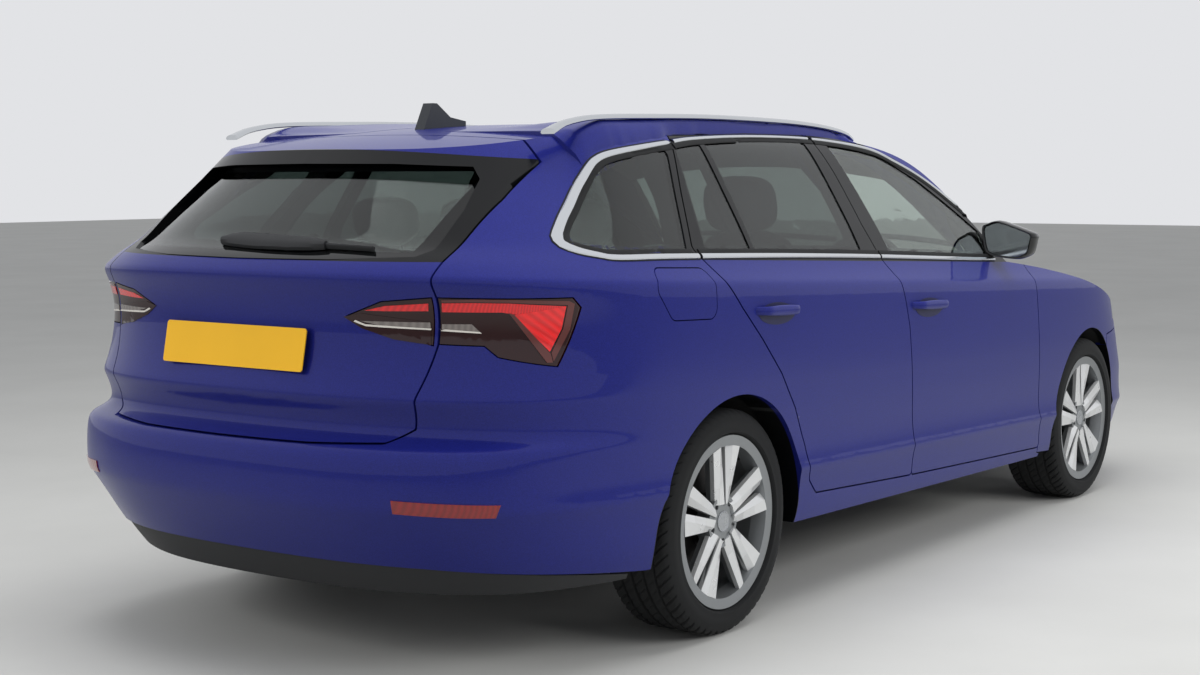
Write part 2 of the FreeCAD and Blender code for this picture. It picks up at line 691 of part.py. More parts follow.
# Corners across and out from the wheel centre. The section is the same to
# both sides, so one sketch serves the left and the right wheels.
TYRE_SECTION_HALF = [
    ("tyre_width / 2 - 28", "tyre_radius"),
    ("tyre_width / 2 - 12", "tyre_radius - 9"),
    ("tyre_width / 2", "tyre_radius - 40"),
    ("tyre_width / 2 - 2", "rim_radius + 14"),
    ("rim_width / 2 - 8 - running_clearance", "rim_radius + 5"),
    ("rim_width / 2 - 8 - running_clearance", "bead_radius + running_clearance"),
]
TYRE_SECTION = TYRE_SECTION_HALF + [
    ("-(%s)" % across, out) for across, out in reversed(TYRE_SECTION_HALF)]


for end, axle_x, track in (("front", FRONT_AXLE, size("track_front")),
                           ("rear", REAR_AXLE, size("track_rear"))):
    wheel = Part.makeCompound(wheel_pieces(track / 2))
    wheel.translate(Vector(axle_x, 0, TYRE_RADIUS))
    for side_name, sign in SIDES.items():
        centre = Vector(axle_x, sign * track / 2, TYRE_RADIUS)
        turned_body("tyre_%s_%s" % (end, side_name), TYRE_SECTION, centre)
        keep("rim_%s_%s" % (end, side_name), wheel if sign > 0 else mirrored(wheel))

# Knuckles
KINGPIN_Y = 705
SPINDLE = size("centre_bore") - FIT
HUB_FACE = size("track_front") / 2 + size("mounting_offset")


def knuckle():
    post = Part.makeCylinder(22, 250, Vector(FRONT_AXLE, KINGPIN_Y, 195))
    carrier = Part.makeCylinder(44, 70, Vector(FRONT_AXLE, KINGPIN_Y - 30, TYRE_RADIUS),
                                Vector(0, 1, 0))
    spindle = Part.makeCylinder(SPINDLE, HUB_FACE + 14 - KINGPIN_Y,
                                Vector(FRONT_AXLE, KINGPIN_Y, TYRE_RADIUS), Vector(0, 1, 0))
    arm = box(FRONT_AXLE - 125, FRONT_AXLE, KINGPIN_Y - 12, KINGPIN_Y + 12, 225, 250)
    return post.fuse(carrier).fuse(spindle).fuse(arm)


keep("knuckle_left", knuckle())
keep("knuckle_right", mirrored(knuckle()))

# Floor: main floor, tunnel, raised boot floor, spare wheel well, wheelhouses
FLOOR = 262
SHEET = 15
BOOT_FLOOR = 345
KICK_UP = -600
# The right half is made and mirrored.
floor = box(KICK_UP, 1050, -800, 0, FLOOR, FLOOR + SHEET)
floor = floor.fuse(box(-2180, KICK_UP, -800, 0, BOOT_FLOOR, BOOT_FLOOR + SHEET))
floor = floor.fuse(box(KICK_UP - SHEET, KICK_UP, -800, 0, FLOOR, BOOT_FLOOR + SHEET))
floor = floor.fuse(box(KICK_UP - SHEET, 1050, -130, 0, FLOOR, 400))
floor = floor.cut(box(KICK_UP - 2 * SHEET, 1100, -115, 115, FLOOR - 10, 385))
WELL_CENTRE = (-1760, 0)
WELL_RADIUS = 330
WELL_FLOOR = 225
well = Part.makeCylinder(WELL_RADIUS, BOOT_FLOOR - WELL_FLOOR, Vector(*WELL_CENTRE, WELL_FLOOR))
floor = floor.fuse(well.common(box(-2200, -1300, -400, 0, 0, 400)))
floor = floor.cut(Part.makeCylinder(WELL_RADIUS - SHEET, 400,
                                    Vector(*WELL_CENTRE, WELL_FLOOR + SHEET)))
floor = floor.fuse(box(-2195, -2180, -590, 0, BOOT_FLOOR, 600))
LINER = ARCH + 8
LINER_WALL = 10


def liner(axle_x, inner_y, low):
    """Half a drum over a wheel, and the room inside it."""
    outside = Part.makeCylinder(LINER + LINER_WALL, 900 + inner_y,
                                Vector(axle_x, inner_y, TYRE_RADIUS), Vector(0, -1, 0))
    inside = Part.makeCylinder(LINER, 900 + inner_y,
                               Vector(axle_x, inner_y - LINER_WALL, TYRE_RADIUS),
                               Vector(0, -1, 0))
    return outside.common(box(axle_x - 500, axle_x + 500, -1000, 0, low, 900)), inside


UNDER_SKIN_FIT = even_hull(SKIN + FIT)
outside, inside = liner(REAR_AXLE, -600, BOOT_FLOOR)
floor = floor.fuse(outside).cut(inside)
floor = floor.common(UNDER_SKIN_FIT).cut(body_right).cut(rear_bumper)
floor = largest(floor)
floor = floor.fuse(mirrored(floor)).removeSplitter()
floor = keep("floor_pan", largest(floor))

# Bulkhead, inner wings and front rails
front_frame = box(1050, 1065, -800, 0, FLOOR, 940)
front_frame = front_frame.fuse(box(1060, 2110, -480, -470, 300, 800))
outside, inside = liner(FRONT_AXLE, -470, 300)
front_frame = front_frame.fuse(outside).cut(inside)
front_frame = front_frame.fuse(box(2095, 2110, -480, 0, 300, 640))
front_frame = front_frame.common(UNDER_SKIN_FIT).cut(body_right)
front_frame = front_frame.cut(floor).cut(pieces["front_bumper"].Shape)
front_frame = front_frame.cut(pieces["headlamps"].Shape)
front_frame = front_frame.fuse(mirrored(front_frame)).removeSplitter()
front_frame = front_frame.cut(Part.makeCylinder(30, 40, Vector(1040, 60, 305), Vector(1, 0, 0)))
keep("front_frame", largest(front_frame))

# Engine, axles, tank and exhaust
CRADLE_TOP = 225
bound_box("engine_block", Vector(1250, -330, CRADLE_TOP + FIT),
          "engine_length", "engine_width", "engine_height")
cradle = box(1180, 1290, -480, 480, 175, CRADLE_TOP)
for sign in (-1, 1):
    foot = box(1180, 1290, 440, 480, CRADLE_TOP, 300)
    cradle = cradle.fuse(foot if sign > 0 else mirrored(foot))
for sign in (-1, 1):
    ends = [Vector(1235, 300 * sign, 200), Vector(FRONT_AXLE, 640 * sign, 183)]
    cradle = cradle.fuse(rod(ends[0], ends[1], 18))
    ring = Part.makeCylinder(24, 24, Vector(FRONT_AXLE, KINGPIN_Y * sign, 195 - 24 - FIT))
    cradle = cradle.fuse(rod(ends[1], Vector(FRONT_AXLE, KINGPIN_Y * sign, 182), 11)).fuse(ring)
keep("front_axle", cradle)
beam = rod(Vector(REAR_AXLE + 150, -560, 250), Vector(REAR_AXLE + 150, 560, 250), 28)
for sign in (-1, 1):
    arm = rod(Vector(REAR_AXLE + 330, 560 * sign, BOOT_FLOOR - 60), Vector(REAR_AXLE + 150, 560 * sign, 250), 25)
    arm = arm.fuse(rod(Vector(REAR_AXLE + 150, 560 * sign, 250), Vector(REAR_AXLE, 590 * sign, TYRE_RADIUS), 22))
    bush = Part.makeCylinder(32, 60, Vector(REAR_AXLE + 330, 530 * sign, BOOT_FLOOR - 60), Vector(0, sign, 0))
    arm = arm.fuse(bush).fuse(box(REAR_AXLE + 300, REAR_AXLE + 360, min(530 * sign, 590 * sign),
                                  max(530 * sign, 590 * sign), BOOT_FLOOR - 60, BOOT_FLOOR))
    carrier = Part.makeCylinder(44, 110, Vector(REAR_AXLE, 615 * sign, TYRE_RADIUS), Vector(0, sign, 0))
    inner_stub = Part.makeCylinder(24, 60, Vector(REAR_AXLE, 570 * sign, TYRE_RADIUS), Vector(0, sign, 0))
    stub_length = size("track_rear") / 2 + size("mounting_offset") + 14 - 620
    stub = Part.makeCylinder(SPINDLE, stub_length, Vector(REAR_AXLE, 620 * sign, TYRE_RADIUS), Vector(0, sign, 0))
    stub = stub.fuse(inner_stub)
    beam = beam.fuse(arm).fuse(carrier).fuse(stub)
keep("rear_axle", beam)
bound_box("fuel_tank", Vector(-1000, -500, 190), "tank_length", "tank_width", "tank_height")
silencer = box(-2030, -1640, 345, 560, 215, BOOT_FLOOR - FIT)
silencer = silencer.makeFillet(35, [e for e in silencer.Edges if e.BoundBox.XLength > 300])
pipe_route = [Vector(-1700, 470, 305), Vector(-1500, 470, 305), Vector(-1280, 300, 305),
              Vector(-1000, 60, 305), Vector(1150, 60, 305), Vector(1200, 60, 320),
              Vector(1250 - FIT, 60, 320)]
exhaust = silencer
for start, end in zip(pipe_route, pipe_route[1:]):
    exhaust = exhaust.fuse(rod(start, end, 22))
for bend in pipe_route[1:-1]:
    exhaust = exhaust.fuse(Part.makeSphere(22, bend))
keep("exhaust", exhaust)

# Cabin
def seat(centre_y, half, front, back, base):
    cushion = box(back, front, centre_y - half, centre_y + half, base, 530)
    lean = flat_face([(back, 480), (back + 110, 530), (back - 90, 1120), (back - 190, 1100)], "side")
    rest = lean.extrude(Vector(0, 2 * half, 0))
    rest.translate(Vector(0, centre_y - half, 0))
    return cushion.fuse(rest)


front_seat = seat(-370, 250, 330, -180, 400)
pedestal = box(-120, 250, -560, -180, FLOOR + SHEET + FIT, 400)
keep("front_seats", both(front_seat.fuse(pedestal)))
keep("rear_seat", seat(0, 580, -620, -1130, BOOT_FLOOR + SHEET + FIT))
dash = box(650, 1040, -690, 690, 640, 910)
dash = dash.makeFillet(50, [e for e in dash.Edges if abs(e.BoundBox.YLength) > 1000 and e.BoundBox.XMin < 700])
column_way = Vector(math.sin(math.radians(65)), 0, -math.cos(math.radians(65)))
WHEEL_CENTRE = Vector(480, -370, 890)
column = rod(WHEEL_CENTRE + column_way * (130 + FIT), WHEEL_CENTRE + column_way * 240, 24)
keep("dashboard", dash.fuse(column))
wheel_ring = Part.makeTorus(182, 15)
wheel_ring = wheel_ring.fuse(Part.makeCylinder(45, 30, Vector(0, 0, -25)))
wheel_ring = wheel_ring.fuse(box(-180, 180, -12, 12, -20, 0)).fuse(box(-12, 12, -180, 0, -20, 0))
wheel_ring = wheel_ring.fuse(Part.makeCylinder(20, 110, Vector(0, 0, -130)))
wheel_ring.rotate(Vector(0, 0, 0), Vector(0, 1, 0), -65)
wheel_ring.translate(WHEEL_CENTRE)
keep("steering_wheel", wheel_ring)

# Roof rails and aerial
rail_path = [(-1669, 1418), (-1500, 1452), (-944, 1466), (-200, 1460), (-4, 1440)]
rail = side_prism(rail_path + [(-30, 1425), (-200, 1447), (-944, 1453), (-1500, 1439), (-1600, 1412)],
                  reach=(-612, -584))
rail = rail.fuse(side_prism([(-1669, 1418), (-1500, 1440), (-1500, 1400), (-1660, 1395)], reach=(-612, -584)))
rail = rail.fuse(side_prism([(-4, 1440), (-150, 1455), (-150, 1400), (-10, 1400)], reach=(-612, -584)))
rail = rail.cut(OUTER)
keep("roof_rails", both(largest(rail)))
fin = side_prism([(-1530, 1400), (-1480, 1499), (-1460, 1499), (-1400, 1460), (-1330, 1450), (-1330, 1400)], reach=(-18, 18))
fin = fin.cut(OUTER)
keep("roof_antenna", largest(fin))

doc.recompute()
os.makedirs("parts", exist_ok=True)
for name, feature in pieces.items():
    if "Invalid" in feature.State or "Error" in feature.State or feature.Shape.isNull():
        raise RuntimeError(name + " failed")
    if not feature.Shape.isValid():
        raise RuntimeError(name + " is not a valid shape")
    feature.Shape.exportStep("parts/" + name + ".step")
print(len(pieces), "pieces")
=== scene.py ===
# %% [markdown]
# This lesson dresses an estate car. Its solids come from a CAD model, one for
# each panel, pane, lamp and wheel, and they already stand on their bodies, so
# that a door or a wheel can move. Here they get their finishes, and the fine
# pieces that the CAD model leaves out are made round them.

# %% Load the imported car
import json
import math

import bmesh
import bpy
from mathutils import Matrix, Vector
from mathutils.bvhtree import BVHTree
from mathutils.geometry import delaunay_2d_cdt


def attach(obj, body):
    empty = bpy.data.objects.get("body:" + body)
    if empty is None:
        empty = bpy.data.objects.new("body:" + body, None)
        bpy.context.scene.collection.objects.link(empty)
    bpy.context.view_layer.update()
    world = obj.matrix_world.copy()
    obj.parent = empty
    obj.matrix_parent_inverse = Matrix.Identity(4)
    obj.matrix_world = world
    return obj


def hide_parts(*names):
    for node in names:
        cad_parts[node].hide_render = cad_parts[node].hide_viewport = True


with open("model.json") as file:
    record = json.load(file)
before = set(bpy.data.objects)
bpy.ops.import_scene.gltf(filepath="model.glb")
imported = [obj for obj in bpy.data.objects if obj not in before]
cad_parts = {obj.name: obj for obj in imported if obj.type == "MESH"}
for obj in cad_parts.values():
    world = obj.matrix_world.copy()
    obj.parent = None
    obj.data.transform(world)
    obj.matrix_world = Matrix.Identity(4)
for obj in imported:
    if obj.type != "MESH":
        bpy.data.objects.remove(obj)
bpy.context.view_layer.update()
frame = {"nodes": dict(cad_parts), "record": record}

nodes = frame["nodes"]
print("parts from the CAD model:", len(nodes))

# %% [markdown]
# The camera stands behind the car and to its right, a little above the door
# handles, as a dealer's photographer does. It was solved from points that both
# the drawing and the picture have, so it is written as numbers: a place in
# metres, the way it looks, and a lens a little longer than a normal one.

# %% Camera
YAW, PITCH, ROLL = math.radians(35.759), math.radians(-5.094), math.radians(-0.143)
EYE = (-5.524, -3.528, 1.289)
SENSOR_WIDTH, LENS = 36, 54.62
forward = Vector((math.cos(YAW) * math.cos(PITCH), math.sin(YAW) * math.cos(PITCH),
                  math.sin(PITCH)))
right = Vector((math.sin(YAW), -math.cos(YAW), 0))
up = right.cross(forward)
right, up = (right * math.cos(ROLL) + up * math.sin(ROLL),
             up * math.cos(ROLL) - right * math.sin(ROLL))
camera = bpy.data.objects.new("camera", bpy.data.cameras.new("camera"))
bpy.context.scene.collection.objects.link(camera)
camera.data.sensor_width = SENSOR_WIDTH
camera.data.lens = LENS
rotation = Matrix((right, up, -forward)).transposed()
camera.matrix_world = Matrix.Translation(EYE) @ rotation.to_4x4()
bpy.context.scene.camera = camera
print("camera looks along", [round(v, 3) for v in forward])

# %% [markdown]
# Colours are picked as sRGB hex values, the way a paint card gives them, but
# Blender mixes light in linear values. One function does the change. Another
# adds a shader node with its settings and its links, so that every material
# below reads as a short list of what the real finish is made of.

# %% Colour and node helpers
def linear(hex_colour):
    """An sRGB hex colour as linear red, green, blue and alpha."""
    channels = [int(hex_colour[i:i + 2], 16) / 255 for i in (1, 3, 5)]
    return tuple(c / 12.92 if c < 0.04045 else ((c + 0.055) / 1.055) ** 2.4
                 for c in channels) + (1.0,)


def add(tree, kind, settings=None, links=None):
    """Adds one node: settings are its inputs or its own options, links are its inputs' sources."""
    node = tree.nodes.new(kind)
    for name, value in (settings or {}).items():
        if isinstance(name, int) or name in node.inputs:
            node.inputs[name].default_value = value
        else:
            setattr(node, name, value)
    for name, source in (links or {}).items():
        tree.links.new(source, node.inputs[name])
    return node


def finish_named(name, colour, **settings):
    """A material with one Principled shader, whose even values sit on the shader itself."""
    material = bpy.data.materials.new(name)
    material.use_nodes = True
    tree = material.node_tree
    shader = tree.nodes["Principled BSDF"]
    shader.inputs["Base Color"].default_value = linear(colour)
    for key, value in settings.items():
        shader.inputs[key.replace("_", " ")].default_value = value
    return material, tree, shader


MM = 0.001
TYRE_R = 0.3186
AXLES = {"front": (1.4645, 0.7715), "rear": (-1.2215, 0.7675)}
print("linear mid grey:", [round(v, 3) for v in linear("#808080")[:3]])

# %% [markdown]
# The floor is a screed, a thin layer of fine concrete, under pale matt paint.
# Such a floor is never one even colour, so a noise with patches of about a
# metre mixes two greys. It lies a millimetre low, so that the tyres' feet
# don't share its plane. It belongs to the stage and not to the car.

# %% Floor
FLOOR_HALF, FLOOR_DROP = 40, 1 * MM
floor_mesh = bpy.data.meshes.new("studio_floor")
floor_mesh.from_pydata([(-FLOOR_HALF, -FLOOR_HALF, 0), (FLOOR_HALF, -FLOOR_HALF, 0),
                        (FLOOR_HALF, FLOOR_HALF, 0), (-FLOOR_HALF, FLOOR_HALF, 0)],
                       [], [(0, 1, 2, 3)])
floor = bpy.data.objects.new("studio_floor", floor_mesh)
bpy.context.scene.collection.objects.link(floor)
floor.location.z = -FLOOR_DROP
screed, tree, shader = finish_named("painted_studio_screed", "#bebebb", Roughness=0.75)
place = add(tree, "ShaderNodeTexCoord")
mottle = add(tree, "ShaderNodeTexNoise", {"Scale": 0.8, "Detail": 6.0, "Roughness": 0.6},
             {"Vector": place.outputs["Object"]})
shade = add(tree, "ShaderNodeValToRGB", links={"Fac": mottle.outputs["Fac"]})
shade.color_ramp.elements[0].color = linear("#b2b2af")
shade.color_ramp.elements[1].color = linear("#c6c6c3")
tree.links.new(shade.outputs["Color"], shader.inputs["Base Color"])
floor.data.materials.append(screed)
print("floor side in metres:", 2 * FLOOR_HALF)

# %% [markdown]
# The walls aren't built. The world stands in for them: it is pale to the eye,
# to gloss and to glass, and a little lower for the light that falls on the
# car, so that colours come out as they are written. The Light Path node says
# which of these a ray is.

# %% World
WALL_LIGHT, WALL_SHOWN = 0.55, 1.0
world = bpy.data.worlds.new("studio")
bpy.context.scene.world = world
world.use_nodes = True
tree = world.node_tree
rays = add(tree, "ShaderNodeLightPath")
seen = add(tree, "ShaderNodeMath", {"operation": "MAXIMUM"},
           {0: rays.outputs["Is Camera Ray"], 1: rays.outputs["Is Glossy Ray"]})
seen_or_through = add(tree, "ShaderNodeMath", {"operation": "MAXIMUM"},
                      {0: seen.outputs[0], 1: rays.outputs["Is Transmission Ray"]})
lit = add(tree, "ShaderNodeBackground", {"Color": linear("#f2f4f8"), "Strength": WALL_LIGHT})
shown = add(tree, "ShaderNodeBackground", {"Color": linear("#e2e3e6"), "Strength": WALL_SHOWN})
both = add(tree, "ShaderNodeMixShader",
           links={0: seen_or_through.outputs[0], 1: lit.outputs[0], 2: shown.outputs[0]})
tree.links.new(both.outputs[0], tree.nodes["World Output"].inputs["Surface"])
print("light from the walls:", WALL_LIGHT)

# %% [markdown]
# Three large soft lamps stand where a studio's ceiling boxes hang. A wide face
# gives a soft shadow under the car. The lamps are hidden from gloss, because
# their edges would draw hard white bars on the lacquer, which the picture
# doesn't have.

# %% Lamps
def soft_box(name, place_at, aim_at, width, height, watts):
    """A lamp with a wide soft face. Gloss shows the pale walls in its place."""
    lamp = bpy.data.lights.new(name, "AREA")
    lamp.shape = "RECTANGLE"
    lamp.size, lamp.size_y = width, height
    lamp.energy = watts
    held = bpy.data.objects.new(name, lamp)
    bpy.context.scene.collection.objects.link(held)
    held.location = place_at
    held.visible_glossy = False
    held.rotation_mode = "QUATERNION"
    held.rotation_quaternion = (Vector(aim_at) - Vector(place_at)).to_track_quat("-Z", "Y")
    return held


soft_box("ceiling_box", (-0.5, -0.5, 5.0), (0, 0, 0), 6.0, 3.0, 240)
soft_box("side_box", (0.0, -6.5, 3.6), (0, 0, 0.8), 6.0, 2.2, 240)
soft_box("tail_box", (-7.0, 1.5, 3.4), (-1.5, 0, 0.8), 3.5, 2.0, 110)
bpy.context.scene.view_settings.view_transform = "Standard"

# %% [markdown]
# A material is a small sum. Two helpers keep it readable: one is an arithmetic
# node, and the other picks between two colours by a factor of 0 or 1.

# %% Sums and switches in a material
def switched(tree, factor, off, on):
    """A colour that is off or on, each a socket or a constant, by a factor of 0 or 1."""
    mix = add(tree, "ShaderNodeMix", {"data_type": "RGBA"}, {0: factor})
    for slot, value in ((6, off), (7, on)):
        if isinstance(value, tuple):
            mix.inputs[slot].default_value = value
        else:
            tree.links.new(value, mix.inputs[slot])
    return mix.outputs[2]


def maths(tree, operation, *values):
    """One arithmetic node. Each value is a number or another node's output."""
    node = tree.nodes.new("ShaderNodeMath")
    node.operation = operation
    for slot, value in enumerate(values):
        if isinstance(value, (int, float)):
            node.inputs[slot].default_value = value
        else:
            tree.links.new(value, node.inputs[slot])
    return node.outputs[0]


print("helpers for materials:", [f.__name__ for f in (switched, maths)])

# %% [markdown]
# A car body isn't blue all over. The wheel housings, the window frames of the doors, the post
# between two panes and the surround of the rear window are black. They could be painted on an
# image, but a mask made of sums on a point's place needs none: it is 1 inside the region and 0
# outside it. The regions' edges are written in metres, as they were measured on the car. Over the
# rear window the black band reaches up to the spoiler's edge. There it is partly real black trim
# and partly painted shadow, which stands in for the shade under the spoiler's overhang.

# %% Masks for what isn't blue
ARCH_REACH, ARCH_DEPTH = 0.3640, 0.892
BELT = (-1.131, 1.050, 0.0426)
# the band is real black trim beside the window, and painted shadow of the spoiler's overhang in its
# top part
GATE_BLACK_AND_SHADOW_BAND = (1.0765, 1.361, 0.09)
WINDOW_POST = (-1.440, -0.900, 1.002, -0.0426, 1.508, 0.106)


def from_axle(tree, spot, axle_x):
    """The square of a point's distance from an axle in the side view."""
    along = maths(tree, "SUBTRACT", spot.outputs["X"], axle_x)
    over = maths(tree, "SUBTRACT", spot.outputs["Z"], TYRE_R)
    return maths(tree, "ADD", maths(tree, "MULTIPLY", along, along),
                 maths(tree, "MULTIPLY", over, over))


def in_arch(tree, spot):
    """1 inside a wheel arch: near an axle in the side view, and inboard of the arch's lip."""
    front, rear = (from_axle(tree, spot, axle_x) for axle_x, _ in AXLES.values())
    near = maths(tree, "LESS_THAN", maths(tree, "MINIMUM", front, rear), ARCH_REACH ** 2)
    inboard = maths(tree, "LESS_THAN", maths(tree, "ABSOLUTE", spot.outputs["Y"]), ARCH_DEPTH)
    return maths(tree, "MULTIPLY", near, inboard)


def over_line(tree, spot, line):
    """1 over a line along the car, given as (x, z, slope down towards the front)."""
    x0, z0, slope = line
    height = maths(tree, "MULTIPLY_ADD", spot.outputs["X"], -slope, z0 + slope * x0)
    return maths(tree, "GREATER_THAN", spot.outputs["Z"], height)


def in_band(tree, spot, band):
    """1 between two heights, where band is (low, high, bend): the upper one drops by bend y y."""
    low, high, bend = band
    square = maths(tree, "MULTIPLY", spot.outputs["Y"], spot.outputs["Y"])
    top = maths(tree, "MULTIPLY_ADD", square, -bend, high)
    under = maths(tree, "LESS_THAN", spot.outputs["Z"], top)
    over = maths(tree, "GREATER_THAN", spot.outputs["Z"], low)
    return maths(tree, "MULTIPLY", under, over)


def on_post(tree, spot, post):
    """1 on a post, given as (rear x, front x, foot and its slope, top and its slope)."""
    rear_x, front_x, foot, foot_slope, top, top_slope = post
    low = maths(tree, "MULTIPLY_ADD", spot.outputs["X"], foot_slope, foot)
    high = maths(tree, "MULTIPLY_ADD", spot.outputs["X"], top_slope, top)
    upright = maths(tree, "MULTIPLY", maths(tree, "GREATER_THAN", spot.outputs["Z"], low),
                    maths(tree, "LESS_THAN", spot.outputs["Z"], high))
    along = maths(tree, "MULTIPLY", maths(tree, "GREATER_THAN", spot.outputs["X"], rear_x),
                  maths(tree, "LESS_THAN", spot.outputs["X"], front_x))
    return maths(tree, "MULTIPLY", upright, along)


print("belt line at the rear door's edge:", BELT[1])

# %% [markdown]
# The blue is a metallic base coat under a clear lacquer. The base coat holds
# aluminium flakes, which catch the light one by one, so it is partly metallic
# and of middle roughness. The lacquer is a smooth coat with the faint waves
# called orange peel. It has less than its full weight here, because the pale
# studio would wash the blue out in it. Real flakes are about 0.03 mm wide, far
# too fine to show, so they are drawn 1.5 mm wide and kept faint. The panels'
# inner faces are matt and lined, and the black film is bonded over the paint.

# %% Car paint
FLAKE, PEEL = 1.5 * MM, 6 * MM
PAINT_METALLIC, PAINT_ROUGHNESS, COAT_WEIGHT = 0.25, 0.42, 0.45
LINING_ROUGHER, FACING_IN = 0.4, 0.45
FILM_BLACK = "#0b0c0e"


def painted(name, inside=None, lining=None, film=None):
    """Metallic blue outside. Faces that look along the inside direction get the lining colour.
    film is (mask, measures) and says where the skin is a black gloss film; under the spoiler's edge
    on the tailgate that black is partly painted shadow."""
    material, tree, shader = finish_named(name, "#2b3193", Metallic=PAINT_METALLIC,
                                          Roughness=PAINT_ROUGHNESS, Specular_IOR_Level=0.1,
                                          Coat_Weight=COAT_WEIGHT, Coat_Roughness=0.03)
    place = add(tree, "ShaderNodeTexCoord")
    spot = add(tree, "ShaderNodeSeparateXYZ", links={0: place.outputs["Object"]})
    flakes = add(tree, "ShaderNodeTexVoronoi", {"Scale": 1 / FLAKE},
                 {"Vector": place.outputs["Object"]})
    flake_grey = add(tree, "ShaderNodeSeparateColor", links={0: flakes.outputs["Color"]})
    colour = switched(tree, flake_grey.outputs[0], linear("#171c66"), linear("#1e257c"))
    colour = switched(tree, in_arch(tree, spot), colour, linear(FILM_BLACK))
    if film:
        mask, measures = film
        colour = switched(tree, mask(tree, spot, measures), colour, linear(FILM_BLACK))
    if inside:
        facing = add(tree, "ShaderNodeVectorMath", {"operation": "DOT_PRODUCT", 1: inside},
                     {0: place.outputs["Normal"]})
        turned = maths(tree, "GREATER_THAN", facing.outputs["Value"], FACING_IN)
        colour = switched(tree, turned, colour, linear(lining))
        for socket, change, outside in (("Roughness", LINING_ROUGHER, PAINT_ROUGHNESS),
                                        ("Metallic", -PAINT_METALLIC, PAINT_METALLIC),
                                        ("Coat Weight", -COAT_WEIGHT, COAT_WEIGHT)):
            value = maths(tree, "MULTIPLY_ADD", turned, change, outside)
            tree.links.new(value, shader.inputs[socket])
    tree.links.new(colour, shader.inputs["Base Color"])
    peel = add(tree, "ShaderNodeTexNoise", {"Scale": 1 / PEEL, "Detail": 1.0},
               {"Vector": place.outputs["Object"]})
    wave = add(tree, "ShaderNodeBump", {"Strength": 0.02, "Distance": 0.1 * MM},
               {"Height": peel.outputs["Fac"]})
    tree.links.new(wave.outputs[0], shader.inputs["Coat Normal"])
    return material


print("flakes across a metre:", round(1 / FLAKE))

# %% [markdown]
# Each group of panels gets the paint with its own inner face. A side's inner
# face looks towards the middle of the car, the roof's looks down and carries
# the pale headlining, and the tailgate's looks forward into the load bay.

# %% Painted panels
def dress(material, *names):
    """Gives some CAD parts one material."""
    for name in names:
        slots = nodes[name].data.materials
        slots.clear()
        slots.append(material)


TRIM_GREY, TRIM_DARK, GATE_DARK, HEADLINING = "#4a4845", "#232326", "#2a2a2c", "#8d8a84"
blue_shell = painted("blue_metallic_lacquer")
blue_roof = painted("blue_lacquer_over_headlining", (0, 0, -1), HEADLINING)
# the tailgate's band is black trim, with painted shadow under the spoiler in its top part
blue_gate = painted("blue_lacquer_tailgate", (1, 0, 0), GATE_DARK, (in_band, GATE_BLACK_AND_SHADOW_BAND))
dress(blue_shell, "front_wings", "front_bumper", "rear_bumper", "fuel_flap", "bonnet")
dress(blue_roof, "roof_panel")
dress(blue_gate, "tailgate")
for side, inward in (("left", (0, -1, 0)), ("right", (0, 1, 0))):
    dress(painted(f"blue_lacquer_side_{side}", inward, TRIM_GREY, (on_post, WINDOW_POST)),
          f"body_side_{side}")
    dress(painted(f"blue_lacquer_door_{side}", inward, TRIM_DARK, (over_line, BELT)),
          f"door_front_{side}", f"door_rear_{side}")
print("parts that still have no finish:", sum(not o.data.materials for o in nodes.values()))

# %% [markdown]
# Car glass is soda-lime glass with an index of 1.52. The front panes have a
# faint green tint. Behind the middle pillar the panes are privacy glass, which
# is dark right through. The tint sits in the shader's colour. The tailgate's
# pane has a printed border of black ceramic, the frit, which hides the glue.

# %% Glass
FRIT_BLACK = "#070809"


def glazed(name, colour, frit=None):
    """Tinted glass. frit is (half width, low, high): outside that window it is printed black."""
    material, tree, shader = finish_named(name, colour, Roughness=0.0, IOR=1.52,
                                          Transmission_Weight=1.0)
    place = add(tree, "ShaderNodeTexCoord")
    dust = add(tree, "ShaderNodeTexNoise", {"Scale": 4.0, "Detail": 8.0, "Roughness": 0.7},
               {"Vector": place.outputs["Object"]})
    film = add(tree, "ShaderNodeMapRange", {"From Min": 0.45, "From Max": 0.8,
                                            "To Min": 0.0, "To Max": 0.04},
               {"Value": dust.outputs["Fac"]})
    tree.links.new(film.outputs[0], shader.inputs["Roughness"])
    if frit:
        half, low, high = frit
        spot = add(tree, "ShaderNodeSeparateXYZ", links={0: place.outputs["Object"]})
        side = maths(tree, "GREATER_THAN", maths(tree, "ABSOLUTE", spot.outputs["Y"]), half)
        under = maths(tree, "LESS_THAN", spot.outputs["Z"], low)
        over = maths(tree, "GREATER_THAN", spot.outputs["Z"], high)
        printed = maths(tree, "MAXIMUM", side, maths(tree, "MAXIMUM", under, over))
        tint = switched(tree, printed, linear(colour), linear(FRIT_BLACK))
        tree.links.new(tint, shader.inputs["Base Color"])
        tree.links.new(maths(tree, "SUBTRACT", 1.0, printed),
                       shader.inputs["Transmission Weight"])
    return material


# its iron makes it faintly green, and the float bath makes it flat and clear
clear_glass = glazed("toughened_glass_green_tint", "#d5e0d9")
# dyed in the melt, so the cabin behind it shows only as shapes
privacy_glass = glazed("privacy_glass_dark", "#6b7773")
# the same glass with a border of black ceramic, burnt in
rear_window = glazed("privacy_glass_with_frit", "#7f8a86", (0.497, 1.098, 1.300))
dress(clear_glass, "windscreen", "glass_front_left", "glass_front_right")
dress(privacy_glass, "glass_rear_left", "glass_rear_right", "quarter_glass")
dress(rear_window, "tailgate_glass")
print("panes:", [n for n in nodes if "glass" in n])

# %% [markdown]
# Plastics and rubber come next. A mould with an etched face leaves a grain, and
# a polished one leaves a mirror. Both are one noise: the size of its grains is
# the real one in millimetres, and a second, wide noise makes the colour a
# little uneven, as wear and dust do.

